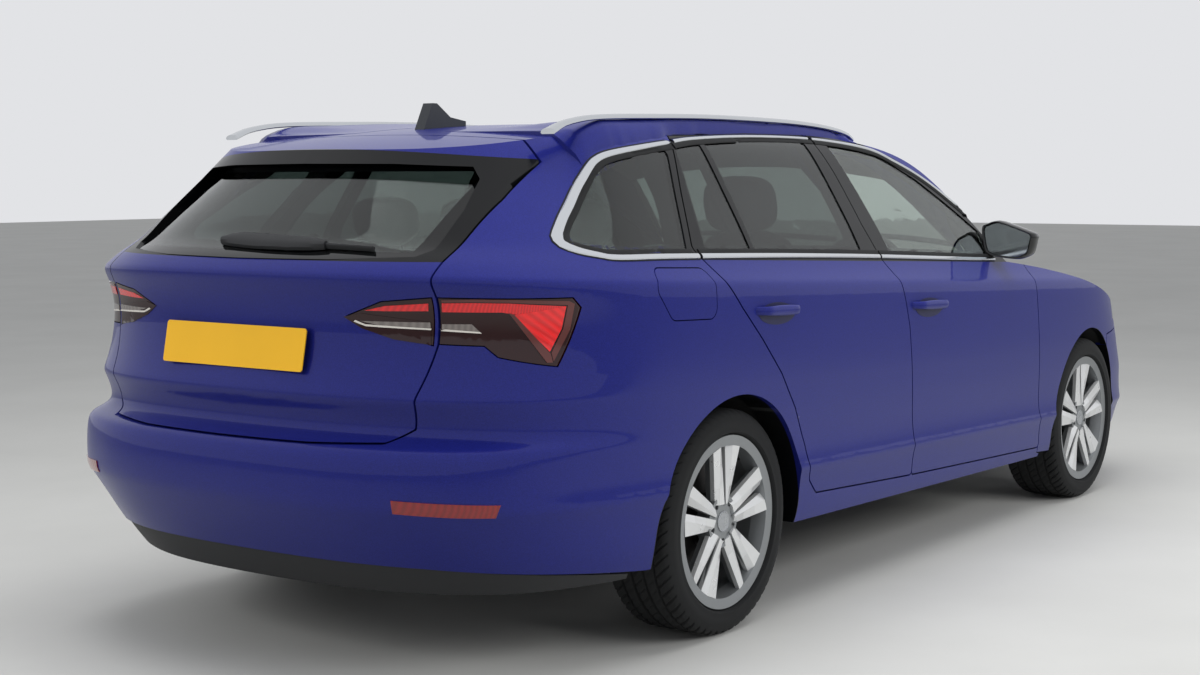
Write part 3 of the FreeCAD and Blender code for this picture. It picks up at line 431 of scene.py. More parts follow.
# %% Plastics and rubber
def moulded(name, colour, roughness, grain, depth, spread=0.15):
    """A moulded plastic or rubber whose surface has grains of the given size in millimetres."""
    material, tree, shader = finish_named(name, colour, Roughness=roughness, IOR=1.49)
    place = add(tree, "ShaderNodeTexCoord")
    pores = add(tree, "ShaderNodeTexNoise", {"Scale": 1 / (grain * MM), "Detail": 3.0},
                {"Vector": place.outputs["Object"]})
    dents = add(tree, "ShaderNodeBump", {"Strength": 0.5, "Distance": depth * MM},
                {"Height": pores.outputs["Fac"]})
    tree.links.new(dents.outputs[0], shader.inputs["Normal"])
    cloud = add(tree, "ShaderNodeTexNoise", {"Scale": 6.0, "Detail": 5.0},
                {"Vector": place.outputs["Object"]})
    base = linear(colour)
    light = tuple(min(1.0, c * (1 + spread) + 0.002) for c in base[:3]) + (1.0,)
    dark = tuple(c * (1 - spread) for c in base[:3]) + (1.0,)
    tree.links.new(switched(tree, cloud.outputs["Fac"], dark, light),
                   shader.inputs["Base Color"])
    return material


# leather-like grain, which breaks the shine into a broad dull gleam
grained_black = moulded("polypropylene_grained_black", "#1d1e20", 0.6, 1.0, 0.12)
# polished in the mould, so it mirrors the floor as dark glass does
gloss_black = moulded("abs_gloss_black", "#0a0b0d", 0.12, 8.0, 0.01)
# painted dark grey, a shade lighter than the glass round it
fin_grey = moulded("abs_aerial_dark_grey", "#24272c", 0.25, 8.0, 0.01)
# carbon black takes nearly all light, and its mould marks keep it matt
tyre_rubber = moulded("tyre_rubber", "#131415", 0.85, 1.6, 0.12)
# pressed through a die, so it is matt and even along its length
seal_rubber = moulded("epdm_seal_rubber", "#101112", 0.7, 1.5, 0.05)
# slush-moulded skin over foam, matt so that it doesn't mirror in the windscreen
soft_dash = moulded("soft_touch_dashboard", "#1f2022", 0.7, 1.2, 0.1)
# sprayed on thick, so it dries in lumps of a few millimetres
under_coat = moulded("bitumen_undercoat", "#232323", 0.85, 3.0, 0.4)
# blow-moulded, waxy and faintly uneven
tank_plastic = moulded("polyethylene_tank", "#18181a", 0.6, 2.0, 0.1)
dress(grained_black, "cowl", "rear_valance")
dress(gloss_black, "grille", "mirror_left", "mirror_right")
dress(fin_grey, "roof_antenna")
dress(tyre_rubber, *[n for n in nodes if n.startswith("tyre_")])
dress(soft_dash, "dashboard", "steering_wheel")
dress(under_coat, "floor_pan", "front_frame")
dress(tank_plastic, "fuel_tank")
print("plastic and rubber parts dressed")

# %% [markdown]
# The metals are bright lacquered alloy for the wheels, rolled steel for the
# axles and the exhaust, and cast iron for the knuckles and brake discs. A disc
# shares its node with its rim, so its iron is picked out by place: it is what
# lies within 165 mm of the axle and behind the wheel's mounting face.

# %% Metals
DISC_RADIUS, FACE_DEPTH, IRON = 0.165, 0.045, "#3c3a39"


def cast_metal(name, colour, roughness, metallic, grain, iron=None):
    """A metal with a fine grit, its grain in millimetres. iron is (axle x, depth): cast iron
    lies near that axle and nearer to the middle of the car than that depth."""
    material, tree, shader = finish_named(name, colour, Metallic=metallic,
                                          Roughness=roughness)
    place = add(tree, "ShaderNodeTexCoord")
    grit = add(tree, "ShaderNodeTexNoise", {"Scale": 1 / (grain * MM), "Detail": 2.0},
               {"Vector": place.outputs["Object"]})
    relief = add(tree, "ShaderNodeBump", {"Strength": 0.25, "Distance": 0.05 * MM},
                 {"Height": grit.outputs["Fac"]})
    tree.links.new(relief.outputs[0], shader.inputs["Normal"])
    veil = add(tree, "ShaderNodeTexNoise", {"Scale": 18.0, "Detail": 6.0},
               {"Vector": place.outputs["Object"]})
    worn = add(tree, "ShaderNodeMapRange", {"To Min": roughness - 0.06,
                                            "To Max": roughness + 0.10},
               {"Value": veil.outputs["Fac"]})
    tree.links.new(worn.outputs[0], shader.inputs["Roughness"])
    if iron:
        axle_x, depth = iron
        spot = add(tree, "ShaderNodeSeparateXYZ", links={0: place.outputs["Object"]})
        near = maths(tree, "LESS_THAN", from_axle(tree, spot, axle_x), DISC_RADIUS * DISC_RADIUS)
        behind = maths(tree, "LESS_THAN", maths(tree, "ABSOLUTE", spot.outputs["Y"]), depth)
        tree.links.new(switched(tree, maths(tree, "MULTIPLY", near, behind), linear(colour),
                                linear(IRON)), shader.inputs["Base Color"])
    return material


# silver paint under lacquer, so it is bright but never mirrors
for end, (axle_x, half_track) in AXLES.items():
    wheel_silver = cast_metal(f"alloy_silver_lacquer_{end}", "#8f9294", 0.34, 0.75, 1.2,
                              (axle_x, half_track + FACE_DEPTH))
    dress(wheel_silver, *[n for n in nodes if n.startswith(f"rim_{end}")])
# rolled and pressed, with a grey satin shine
bare_steel = cast_metal("pressed_steel", "#6c6d70", 0.45, 0.9, 2.0)
# sand-cast, dark and rough
cast_iron = cast_metal("cast_iron", "#4a4746", 0.6, 0.8, 1.5)
# die-cast, paler than steel and evenly dull
engine_metal = cast_metal("cast_aluminium", "#8a8c8e", 0.5, 0.9, 2.0)
# plated and polished, so it shows the studio as a mirror does
bright_chrome = cast_metal("chromium_plate", "#dfe2e5", 0.08, 1.0, 20.0)
# polished and then anodised, which veils the mirror a little
polished_rail = cast_metal("polished_anodised_aluminium", "#d4d7da", 0.16, 1.0, 8.0)
dress(polished_rail, "roof_rails")
dress(cast_iron, "knuckle_left", "knuckle_right")
dress(bare_steel, "front_axle", "rear_axle", "exhaust")
dress(engine_metal, "engine_block")
print("metal parts dressed")

# %% [markdown]
# The seats are covered in a woven cloth. Its threads are about 0.8 mm wide in a real cover and are
# drawn 2.5 mm wide here, so that the weave can be seen from outside. Two crossed waves make the
# over and under of the threads, and the colour is darker where they are low: painted shade between
# the threads.

# %% Seat cloth
def woven(name, colour, thread):
    """A cloth with threads of the given width in millimetres, darker in its hollows as painted
    shade.
    """
    material, tree, shader = finish_named(name, colour, Roughness=0.92, IOR=1.5,
                                          Sheen_Weight=0.25, Sheen_Roughness=0.5)
    place = add(tree, "ShaderNodeTexCoord")
    waves = []
    for direction in ("Y", "Z"):
        wave = add(tree, "ShaderNodeTexWave", {"Scale": 1 / (thread * MM) / math.tau,
                                               "bands_direction": direction},
                   {"Vector": place.outputs["Object"]})
        waves.append(wave.outputs["Fac"])
    crossed = maths(tree, "MULTIPLY", *waves)
    relief = add(tree, "ShaderNodeBump", {"Strength": 0.6, "Distance": 0.4 * MM},
                 {"Height": crossed})
    tree.links.new(relief.outputs[0], shader.inputs["Normal"])
    base = linear(colour)
    # the low places of the weave get a darker colour: painted shade between the threads
    dark = tuple(c * 0.55 for c in base[:3]) + (1.0,)
    tree.links.new(switched(tree, crossed, dark, base), shader.inputs["Base Color"])
    return material


THREAD = 2.5
# the fibres' ends scatter light, so it is matt with a pale sheen at its edges
seat_cloth = woven("woven_seat_cloth", "#2f3034", THREAD)
dress(seat_cloth, "front_seats", "rear_seat")
print("threads across a metre:", round(1000 / THREAD))

# %% [markdown]
# Lamp covers are injection-moulded acrylic, clear as glass with a slightly
# lower index. Behind a tail lamp's cover lies a dark red housing, and behind a
# headlamp's a smoked one, so the covers are given those deep colours and a
# polished face. They look nearly black until light falls in.

# %% Lamp covers
lamp_base = moulded("acrylic_lamp_dark_red", "#240608", 0.07, 12.0, 0.02, 0.25)
lamp_clear = moulded("acrylic_headlamp_smoked", "#3a3f45", 0.05, 12.0, 0.02)
dress(lamp_base, "tail_lamps", "tailgate_lamps")
dress(lamp_clear, "headlamps")
print("bare nodes:", [n for n, o in nodes.items() if not o.data.materials])

# %% [markdown]
# Trim follows the body, so it is laid on the body's own skin. A ray is sent
# from outside through a point of the side view or the tail view, and where it
# meets the skin the trim gets its place and its direction.

# %% Feeling for the skin
def skin_of(*names):
    """A search tree over some CAD parts, and the part that each of its triangles belongs to."""
    points, faces, owners = [], [], []
    for name in names:
        mesh = nodes[name].data
        base = len(points)
        points += [v.co.copy() for v in mesh.vertices]
        for face in mesh.polygons:
            faces.append([base + i for i in face.vertices])
            owners.append(name)
    return BVHTree.FromPolygons(points, faces), owners


SIDE_PARTS = {side: skin_of(f"body_side_{side}", f"door_front_{side}", f"door_rear_{side}",
                            f"glass_front_{side}", f"glass_rear_{side}", "quarter_glass",
                            "fuel_flap", "front_wings", "rear_bumper", "windscreen",
                            "tail_lamps", "roof_panel", "front_bumper", "headlamps", "bonnet")
              for side in ("left", "right")}
TAIL_PARTS = skin_of("tailgate", "tailgate_glass", "tailgate_lamps", "rear_bumper",
                     "tail_lamps", "body_side_left", "body_side_right", "roof_panel")
FRONT_PARTS = skin_of("front_bumper", "grille", "headlamps", "windscreen", "bonnet", "cowl")
BODY_OF = {name: body for body, members in frame["record"]["behaviour"]["bodies"].items()
           for name in members}


def felt(parts, start, look):
    """Where a ray meets some parts, their direction towards the ray, and the part's name."""
    tree, owners = parts
    hit, normal, index, _ = tree.ray_cast(Vector(start), Vector(look))
    if hit is None:
        return None
    return hit, normal if normal.dot(Vector(look)) < 0 else -normal, owners[index]


def on_side(side, x, z):
    sign = 1 if side == "left" else -1
    return felt(SIDE_PARTS[side], (x, 1.5 * sign, z), (0, -sign, 0))


def on_tail(y, z):
    return felt(TAIL_PARTS, (-3, y, z), (1, 0, 0))


def on_front(y, z):
    return felt(FRONT_PARTS, (3, y, z), (-1, 0, 0))


print("skin at the rear door:", on_side("right", -0.6, 0.8)[2])

# %% [markdown]
# Every added piece is a mesh that rides on the body it is fixed to, so a door
# takes its handle along. The normals are made to point outwards, and edges
# sharper than a limit stay sharp, as they do on moulded and pressed parts.

# %% Pieces that ride on a body
def smooth_by_angle(piece, degrees):
    """Edges sharper than the angle stay sharp, the rest are shaded smooth."""
    mesh = piece.data
    bm = bmesh.new()
    bm.from_mesh(mesh)
    bmesh.ops.recalc_face_normals(bm, faces=bm.faces)
    limit = math.radians(degrees)
    for edge in bm.edges:
        edge.smooth = len(edge.link_faces) == 2 and edge.calc_face_angle(0) < limit
    bm.to_mesh(mesh)
    bm.free()


def mesh_piece(name, points, faces, material, body, angle):
    """A piece with one material, on a body of the physics model."""
    mesh = bpy.data.meshes.new(name)
    mesh.from_pydata([tuple(p) for p in points], [], faces)
    mesh.validate()
    mesh.shade_smooth()
    piece = bpy.data.objects.new(name, mesh)
    bpy.context.scene.collection.objects.link(piece)
    mesh.materials.append(material)
    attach(piece, body)
    smooth_by_angle(piece, angle)
    return piece


def together(shapes):
    """Several shapes as one list of points and one of faces."""
    points, faces = [], []
    for more_points, more_faces in shapes:
        base = len(points)
        points += more_points
        faces += [tuple(base + i for i in face) for face in more_faces]
    return points, faces


def shape_piece(name, shapes, material, body, angle=35):
    """One piece from several shapes."""
    return mesh_piece(name, *together(shapes), material, body, angle)


def triangles(piece):
    """How many triangles a piece's faces come to."""
    return sum(len(face.vertices) - 2 for face in piece.data.polygons)


# %% [markdown]
# Most small parts are one of two shapes. A turned shape is a section turned
# round an axis, as on a lathe. A loft is a skin through a row of equal loops,
# and a strip is a loft whose loops are one section carried along a line.
# Modifiers could make them too, but lists of points keep every corner where
# the real one was measured.

# %% Turned shapes, lofts and strips
def turned_shape(section, base, axis, count=32):
    """A closed turned shape: section goes (along, out) from base along axis."""
    axis = Vector(axis).normalized()
    first = axis.orthogonal().normalized()
    second = axis.cross(first)
    n = len(section)
    points = [Vector(base) + axis * along
              + (first * math.cos(math.tau * j / count)
                 + second * math.sin(math.tau * j / count)) * out
              for j in range(count) for along, out in section]
    faces = [(j * n + i, (j + 1) % count * n + i, (j + 1) % count * n + i + 1, j * n + i + 1)
             for j in range(count) for i in range(n - 1)]
    faces.append(tuple(j * n for j in range(count))[::-1])
    faces.append(tuple(j * n + n - 1 for j in range(count)))
    return points, faces


def lofted(loops):
    """A closed shape through loops of points that all have the same count."""
    n = len(loops[0])
    points = [p for loop in loops for p in loop]
    faces = [(i * n + k, i * n + (k + 1) % n, (i + 1) * n + (k + 1) % n, (i + 1) * n + k)
             for i in range(len(loops) - 1) for k in range(n)]
    faces.append(tuple(range(n - 1, -1, -1)))
    faces.append(tuple(range((len(loops) - 1) * n, len(loops) * n)))
    return points, faces


STRIP_SECTION = [(-0.5, -0.15), (-0.5, 0.45), (-0.36, 0.85), (-0.12, 1.0), (0.12, 1.0),
                 (0.36, 0.85), (0.5, 0.45), (0.5, -0.15)]
ROUND_SECTION = [(0.5 * math.cos(math.tau * k / 16), 0.5 * math.sin(math.tau * k / 16))
                 for k in range(16)]


def strip_shape(spots, height, section=STRIP_SECTION):
    """A strip along spots, each (place, outward direction, width)."""
    loops = []
    for i, (place, out, width) in enumerate(spots):
        ahead = spots[min(i + 1, len(spots) - 1)][0] - spots[max(i - 1, 0)][0]
        across = ahead.cross(out).normalized()
        loops.append([place + across * (u * width) + out * (v * height) for u, v in section])
    return lofted(loops)


print("points in a strip's section:", len(STRIP_SECTION))

# %% [markdown]
# Lines on a car flow, so a few measured points are joined by a Catmull-Rom
# curve: it passes through each of its points and has no corner at any.

# %% Flowing lines
def flowing(p0, p1, p2, p3, t):
    """A place between p1 and p2 at a share t, with p0 and p3 as the neighbours."""
    return 0.5 * (2 * p1 + (p2 - p0) * t + (2 * p0 - 5 * p1 + 4 * p2 - p3) * t * t
                  + (3 * p1 - p0 - 3 * p2 + p3) * t * t * t)


def smooth_path(points, step):
    """An open line through the points, sampled about every step."""
    path = []
    ends = [points[0]] + list(points) + [points[-1]]
    for i in range(1, len(ends) - 2):
        corners = [Vector(ends[i + k]) for k in (-1, 0, 1, 2)]
        count = max(1, int((corners[2] - corners[1]).length / step))
        path += [flowing(*corners, k / count) for k in range(count)]
    path.append(Vector(points[-1]))
    return path


def smooth_ring(points, count):
    """A closed ring through flat points, with count places for each."""
    corners = [Vector(p) for p in points]
    ring = []
    for i in range(len(corners)):
        four = [corners[(i + k) % len(corners)] for k in (-1, 0, 1, 2)]
        ring += [flowing(*four, k / count) for k in range(count)]
    return ring


print("halfway between two points:", flowing(0.0, 0.0, 1.0, 1.0, 0.5))

# %% [markdown]
# A summer tyre in 225/40 R18 has four grooves round it, about 8 mm deep, and
# slanted cuts across its shoulder ribs. Each tyre is one turned mesh. Its
# points are turned round the axle, and where a cut crosses a rib they drop by
# the depth of the cut. The sidewall carries a rim guard and two fine rings.

# %% Tyres
RIM_R = 0.245
GROOVES = [(-0.058, 0.0045), (-0.020, 0.0050), (0.020, 0.0050), (0.058, 0.0045)]
GROOVE_DEPTH = 0.0075
CUT_DEPTH = 0.0055
CUTS_ROUND = 60
STEPS_PER_CUT = 5
CUT_SLANT = 0.9
CENTRE_CUT, SHOULDER_CUT = 0.6, 1.0
TYRE_EDGE_ANGLE = 32


def tyre_profile():
    """Corners across the tyre as (across, out, cut): cut says how deep a cross cut goes there."""
    tread = [(-0.0965, TYRE_R - 0.0045, SHOULDER_CUT), (-0.0900, TYRE_R - 0.0016, SHOULDER_CUT),
             (-0.0800, TYRE_R - 0.0004, SHOULDER_CUT)]
    for middle, half in GROOVES:
        outer_cut = SHOULDER_CUT if abs(middle) > 0.04 else 0.0
        before, after = (outer_cut, CENTRE_CUT) if middle < 0 else (CENTRE_CUT, outer_cut)
        tread += [(middle - half - 0.001, TYRE_R, before),
                  (middle - half, TYRE_R - 0.001, before),
                  (middle - half * 0.7, TYRE_R - GROOVE_DEPTH, 0.0),
                  (middle + half * 0.7, TYRE_R - GROOVE_DEPTH, 0.0),
                  (middle + half, TYRE_R - 0.001, after),
                  (middle + half + 0.001, TYRE_R, after)]
    tread += [(0.0800, TYRE_R - 0.0004, SHOULDER_CUT), (0.0900, TYRE_R - 0.0016, SHOULDER_CUT),
              (0.0965, TYRE_R - 0.0045, SHOULDER_CUT)]
    wall = [(0.1035, TYRE_R - 0.0105, 0.6), (0.1085, TYRE_R - 0.0200, 0.0),
            (0.1108, TYRE_R - 0.0290, 0.0), (0.1112, TYRE_R - 0.0300, 0.0),
            (0.1122, TYRE_R - 0.0380, 0.0), (0.1124, TYRE_R - 0.0460, 0.0),
            (0.1112, RIM_R + 0.0200, 0.0), (0.1122, RIM_R + 0.0150, 0.0),
            (0.1120, RIM_R + 0.0105, 0.0), (0.1080, RIM_R + 0.0070, 0.0),
            (0.0990, RIM_R + 0.0050, 0.0), (0.0945, RIM_R + 0.0030, 0.0),
            (0.0942, RIM_R - 0.0160, 0.0)]
    return [(-a, r, c) for a, r, c in reversed(wall)] + tread + wall


def tyre(name, body, centre, sign):
    """A tread and two sidewalls, turned round the axle. sign is +1 on the left of the car."""
    profile = tyre_profile()
    count = CUTS_ROUND * STEPS_PER_CUT
    points, faces = [], []
    for j in range(count):
        turn = math.tau * j / count
        cutting = j % STEPS_PER_CUT == 0
        for across, out, cut in profile:
            radius = out - (CUT_DEPTH * cut if cutting else 0)
            angle = turn + CUT_SLANT * across / TYRE_R
            points.append(centre + Vector((radius * math.sin(angle), sign * across,
                                           radius * math.cos(angle))))
    n = len(profile)
    for j in range(count):
        k = (j + 1) % count
        for i in range(n):
            m = (i + 1) % n
            quad = (j * n + i, j * n + m, k * n + m, k * n + i)
            faces.append(quad if sign < 0 else quad[::-1])
    return mesh_piece(name, points, faces, tyre_rubber, body, TYRE_EDGE_ANGLE)


for end, (axle_x, half_track) in AXLES.items():
    for side, sign in (("left", 1), ("right", -1)):
        centre = Vector((axle_x, sign * half_track, TYRE_R))
        rubber = tyre(f"tyre_tread_{end}_{side}", f"wheel_{end}_{side}", centre, sign)
        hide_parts(f"tyre_{end}_{side}")
print("triangles in a tyre:", triangles(rubber))

# %% [markdown]
# Five bolts on a 112 mm circle hold each wheel, sunk in their bores, and a
# plain cap closes the middle. A rubber valve stands behind the lip, turned
# towards the axle so that a pump's hose reaches it. All three are turned
# shapes; a bolt's head has six sides because it is turned in six steps.

# %% Wheel fittings
# a dull grey plating that keeps rust off
bolt_steel = cast_metal("zinc_flaked_steel", "#55575a", 0.4, 0.9, 1.0)
# the cap has the wheels' silver, a shade brighter
cap_silver = cast_metal("cap_silver_lacquer", "#a9acaf", 0.25, 0.7, 3.0)
# matt black, as the tyres are
valve_rubber = moulded("valve_rubber", "#151515", 0.6, 1.0, 0.05)
BOLTS, BOLT_CIRCLE, HUB_FRONT = 5, 0.056, 0.087
VALVE_ANGLE, VALVE_RADIUS, VALVE_BEHIND = math.radians(36), 0.214, 0.047
BOLT_HEAD = [(-0.020, 0.0078), (-0.010, 0.0078), (-0.008, 0.0066), (-0.008, 0.0030),
             (-0.012, 0.0022)]
CENTRE_CAP = [(-0.006, 0.0280), (0.0015, 0.0300), (0.0030, 0.0290), (0.0034, 0.0265),
              (0.0022, 0.0250), (0.0018, 0.0235), (0.0040, 0.0120), (0.0046, 0.0001)]
VALVE = [(0.0, 0.0045), (0.026, 0.0042), (0.028, 0.0036), (0.036, 0.0036), (0.038, 0.0030)]
for end, (axle_x, half_track) in AXLES.items():
    for side, sign in (("left", 1), ("right", -1)):
        hub = Vector((axle_x, sign * (half_track + HUB_FRONT), TYRE_R))
        outward = Vector((0, sign, 0))
        body = f"wheel_{end}_{side}"
        heads = []
        for k in range(BOLTS):
            angle = math.radians(72 * k + 36)
            spot = hub + Vector((math.sin(angle), 0, math.cos(angle))) * BOLT_CIRCLE
            heads.append(turned_shape(BOLT_HEAD, spot, outward, 6))
        shape_piece(f"wheel_bolts_{end}_{side}", heads, bolt_steel, body, 20)
        shape_piece(f"centre_cap_{end}_{side}", [turned_shape(CENTRE_CAP, hub, outward, 48)],
                    cap_silver, body)
        radial = Vector((math.sin(VALVE_ANGLE), 0, math.cos(VALVE_ANGLE)))
        foot = hub + radial * VALVE_RADIUS - outward * VALVE_BEHIND
        shape_piece(f"valve_{end}_{side}",
                    [turned_shape(VALVE, foot, outward * 0.85 - radial * 0.5, 16)],
                    valve_rubber, body)
print("wheel fittings:", len(AXLES) * 2 * 3)

# %% [markdown]
# Seat foam sits in sewn covers of woven cloth. Each cushion, side roll and
# headrest is a crowned block: a cube whose faces are a fine net, drawn towards
# a rounded form, then pushed out a little in the middle of its panels. Channels
# are pressed in where the cover is sewn down. A cloth simulation could find
# such forms too, but a tight cover over foam has no free folds, and sums give
# the same cushion at every run.

# %% Crowned cushions
def crowned_block(centre, half, lean=0.0, power=5.0, cells=14, crown=0.012, channels=()):
    """A soft block. lean turns it about Y, and a higher power squares it. channels are
    (axis, place, width, depth) in its own frame."""
    bm = bmesh.new()
    bmesh.ops.create_cube(bm, size=2)
    bmesh.ops.subdivide_edges(bm, edges=bm.edges[:], cuts=cells, use_grid_fill=True)
    turn = Matrix.Rotation(lean, 3, "Y")
    half = Vector(half)
    for vert in bm.verts:
        p = vert.co
        norm = sum(abs(c) ** power for c in p) ** (1 / power)
        q = p / norm
        middle = sum(1 - min(1, abs(share)) ** 2 for share in q)
        place = Vector(q[i] * half[i] for i in range(3))
        push = crown * (middle - 1)
        for axis, at, width, depth in channels:
            push -= depth * math.exp(-((place[axis] - at) / width) ** 2)
        place += Vector(q).normalized() * push
        vert.co = turn @ place + Vector(centre)
    points = [v.co.copy() for v in bm.verts]
    faces = [tuple(v.index for v in f.verts) for f in bm.faces]
    bm.free()
    return points, faces


print("points in a block:", len(crowned_block((0, 0, 0), (1, 1, 1))[0]))

# %% [markdown]
# The parts of one seat meet under one cover, so their blocks are joined by a
# voxel remesh: it fills the space of all blocks with small cubes and draws one
# skin round them. A few smoothing steps then round the seams, as foam does.

# %% Blocks under one cover
SMOOTHING_STEPS = 4


def melted(piece, voxel):
    """The overlapping blocks of a piece become one closed skin."""
    remesh = piece.modifiers.new("one_cover", "REMESH")
    remesh.mode = "VOXEL"
    remesh.voxel_size = voxel
    smooth = piece.modifiers.new("soft", "SMOOTH")
    smooth.factor = 0.5
    smooth.iterations = SMOOTHING_STEPS
    bpy.context.view_layer.update()
    ready = piece.evaluated_get(bpy.context.evaluated_depsgraph_get())
    mesh = bpy.data.meshes.new_from_object(ready)
    piece.modifiers.clear()
    piece.data = mesh
    mesh.shade_smooth()
    return piece


FRONT_SEAT_Y, BACK_LEAN = 0.370, math.radians(-18)
CUSHION_LEAN, REST_LEAN = 0.06, math.radians(-12)


def front_seat(y):
    """A cushion, a back and two side rolls on each."""
    blocks = [crowned_block((0.075, y, 0.470), (0.255, 0.185, 0.062), CUSHION_LEAN, 5, 14, 0.012,
                            [(1, -0.11, 0.012, 0.012), (1, 0.11, 0.012, 0.012),
                             (0, 0.05, 0.012, 0.010)]),
              crowned_block((-0.225, y, 0.800), (0.062, 0.185, 0.305), BACK_LEAN, 4.5, 14, 0.012,
                            [(1, -0.11, 0.012, 0.010), (1, 0.11, 0.012, 0.010),
                             (2, 0.05, 0.012, 0.008)])]
    for side in (-1, 1):
        blocks.append(crowned_block((0.075, y + side * 0.205, 0.485), (0.235, 0.045, 0.055),
                                    CUSHION_LEAN, 3.5, 8, 0.004))
        blocks.append(crowned_block((-0.200, y + side * 0.195, 0.770), (0.070, 0.045, 0.240),
                                    BACK_LEAN, 3.5, 8, 0.004))
    return blocks


cover = shape_piece("front_seat_covers", front_seat(-FRONT_SEAT_Y) + front_seat(FRONT_SEAT_Y),
                    seat_cloth, "body")
melted(cover, 0.012)
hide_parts("front_seats")
print("triangles in the front covers:", triangles(cover))

# %% [markdown]
# The rear bench is one wide cushion and one wide back for three people, with
# two sewn channels between the places.

# %% Rear bench
bench_channels = [(1, at, 0.014, 0.012) for at in (-0.20, 0.20)]
bench = shape_piece("rear_bench_cover",
                    [crowned_block((-0.850, 0, 0.448), (0.235, 0.570, 0.084), 0.05, 6, 20, 0.012,
                                   bench_channels + [(0, 0.08, 0.012, 0.008)]),
                     crowned_block((-1.130, 0, 0.770), (0.062, 0.570, 0.300), BACK_LEAN, 6, 20,
                                   0.012, bench_channels)], seat_cloth, "body")
melted(bench, 0.014)
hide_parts("rear_seat")
print("triangles in the bench cover:", triangles(bench))

# %% [markdown]
# Headrests are small crowned blocks on two chromium-plated posts each. They
# stand clear of the seat backs, so they keep their own skins.

# %% Headrests and their posts
FRONT_RESTS = [(-0.345, side * FRONT_SEAT_Y) for side in (-1, 1)]
REAR_RESTS = [(-1.262, y) for y in (-0.37, 0.0, 0.37)]
POST_RADIUS, POST_SIDE, POST_RAKE = 0.006, 0.055, 0.035


def headrest(x, y, z, half):
    """One padded block, leaning with the seat's back."""
    return crowned_block((x, y, z), half, REST_LEAN, 3.6, 10, 0.006)


def posts(x, y, z, low):
    """The two rods of a headrest, from z down to low."""
    rods = []
    for side in (-1, 1):
        top = Vector((x, y + side * POST_SIDE, z))
        foot = Vector((x + POST_RAKE, y + side * POST_SIDE, low))
        rods.append(turned_shape([(0, POST_RADIUS), ((foot - top).length, POST_RADIUS)],
                                 top, foot - top, 12))
    return rods


front_rests = shape_piece("front_headrests",
                          [headrest(x, y, 1.190, (0.045, 0.125, 0.088)) for x, y in FRONT_RESTS],
                          seat_cloth, "body")
rear_rests = shape_piece("rear_headrests",
                         [headrest(x, y, 1.150, (0.038, 0.120, 0.065)) for x, y in REAR_RESTS],
                         seat_cloth, "body")
rods = [rod for x, y in FRONT_RESTS for rod in posts(x, y, 1.150, 1.02)]
rods += [rod for x, y in REAR_RESTS for rod in posts(x, y, 1.11, 1.00)]
shape_piece("headrest_posts", rods, bright_chrome, "body")
print("headrest posts:", len(rods))

# %% [markdown]
# Lamp inlays, the reflectors and the plates under the handles are thin shells
# that lie on the skin. Their outline is given as points near the skin and a
# direction to look along. The outline is filled with a net of triangles, each
# net point is dropped on the skin along that direction, and the shell gets a
# front, a back and a rim, so it is a closed body a millimetre or two thick.

# %% A net inside an outline
def inside(point, outline):
    """True where a flat point lies within a flat outline."""
    crossings = 0
    for a, b in zip(outline, outline[1:] + outline[:1]):
        if (a.y > point.y) != (b.y > point.y):
            if point.x < a.x + (point.y - a.y) / (b.y - a.y) * (b.x - a.x):
                crossings += 1
    return crossings % 2 == 1


def divided(corners, cell):
    """The closed outline with a point about every cell."""
    outline = []
    for a, b in zip(corners, corners[1:] + corners[:1]):
        count = max(1, round((b - a).length / cell))
        outline += [a.lerp(b, k / count) for k in range(count)]
    return outline


def netted(flat, cell):
    """Flat points inside a flat outline, and the triangles between them and the outline."""
    low = Vector((min(p.x for p in flat), min(p.y for p in flat)))
    high = Vector((max(p.x for p in flat), max(p.y for p in flat)))
    net = list(flat)
    for i in range(1, int((high.x - low.x) / cell) + 1):
        for j in range(1, int((high.y - low.y) / cell) + 1):
            spot = low + Vector((i, j)) * cell
            if inside(spot, flat) and min((spot - p).length for p in flat) > cell * 0.45:
                net.append(spot)
    ring = list(range(len(flat)))
    spots, _, faces, _, _, _ = delaunay_2d_cdt(net, [], [ring], 1, 1e-7)
    return spots, faces


print("triangles in a unit square:",
      len(netted([Vector(p) for p in ((0, 0), (1, 0), (1, 1), (0, 1))], 0.5)[1]))

# %% [markdown]
# The net is then dropped on the skin. Where the skin has a gap or a step, such
# as the slit round a lamp, single points would fall in and tear the shell. With
# a bridge given, a point that falls deeper than that is set level with the
# middle one of its neighbours.

# %% Shells laid on the skin
DROP = 0.4
LIFT, SINK = 0.0012, 0.002


def dropped(start, look, parts):
    """Where a place falls on some parts: the skin's direction there and how far off it is."""
    hit, normal, _, reach = parts[0].ray_cast(start, look, 2 * DROP)
    if hit is None:
        return -look, DROP
    return (normal if normal.dot(look) < 0 else -normal), reach


def closed_shell(front, faces, look):
    """Front faces, back faces and a rim, with the front turned against the look."""
    n = len(front)
    edges = dict.fromkeys((a, b) for face in faces for a, b in zip(face, face[1:] + face[:1]))
    rim = [(a, b) for a, b in edges if (b, a) not in edges]
    normal = Vector((0, 0, 0))
    for face in faces:
        a, b, c = (front[i] for i in face[:3])
        normal += (b - a).cross(c - a)
    shell = [tuple(f) for f in faces] + [tuple(i + n for i in reversed(f)) for f in faces]
    shell += [(b, a, a + n, b + n) for a, b in rim]
    return [f[::-1] for f in shell] if normal.dot(look) > 0 else shell


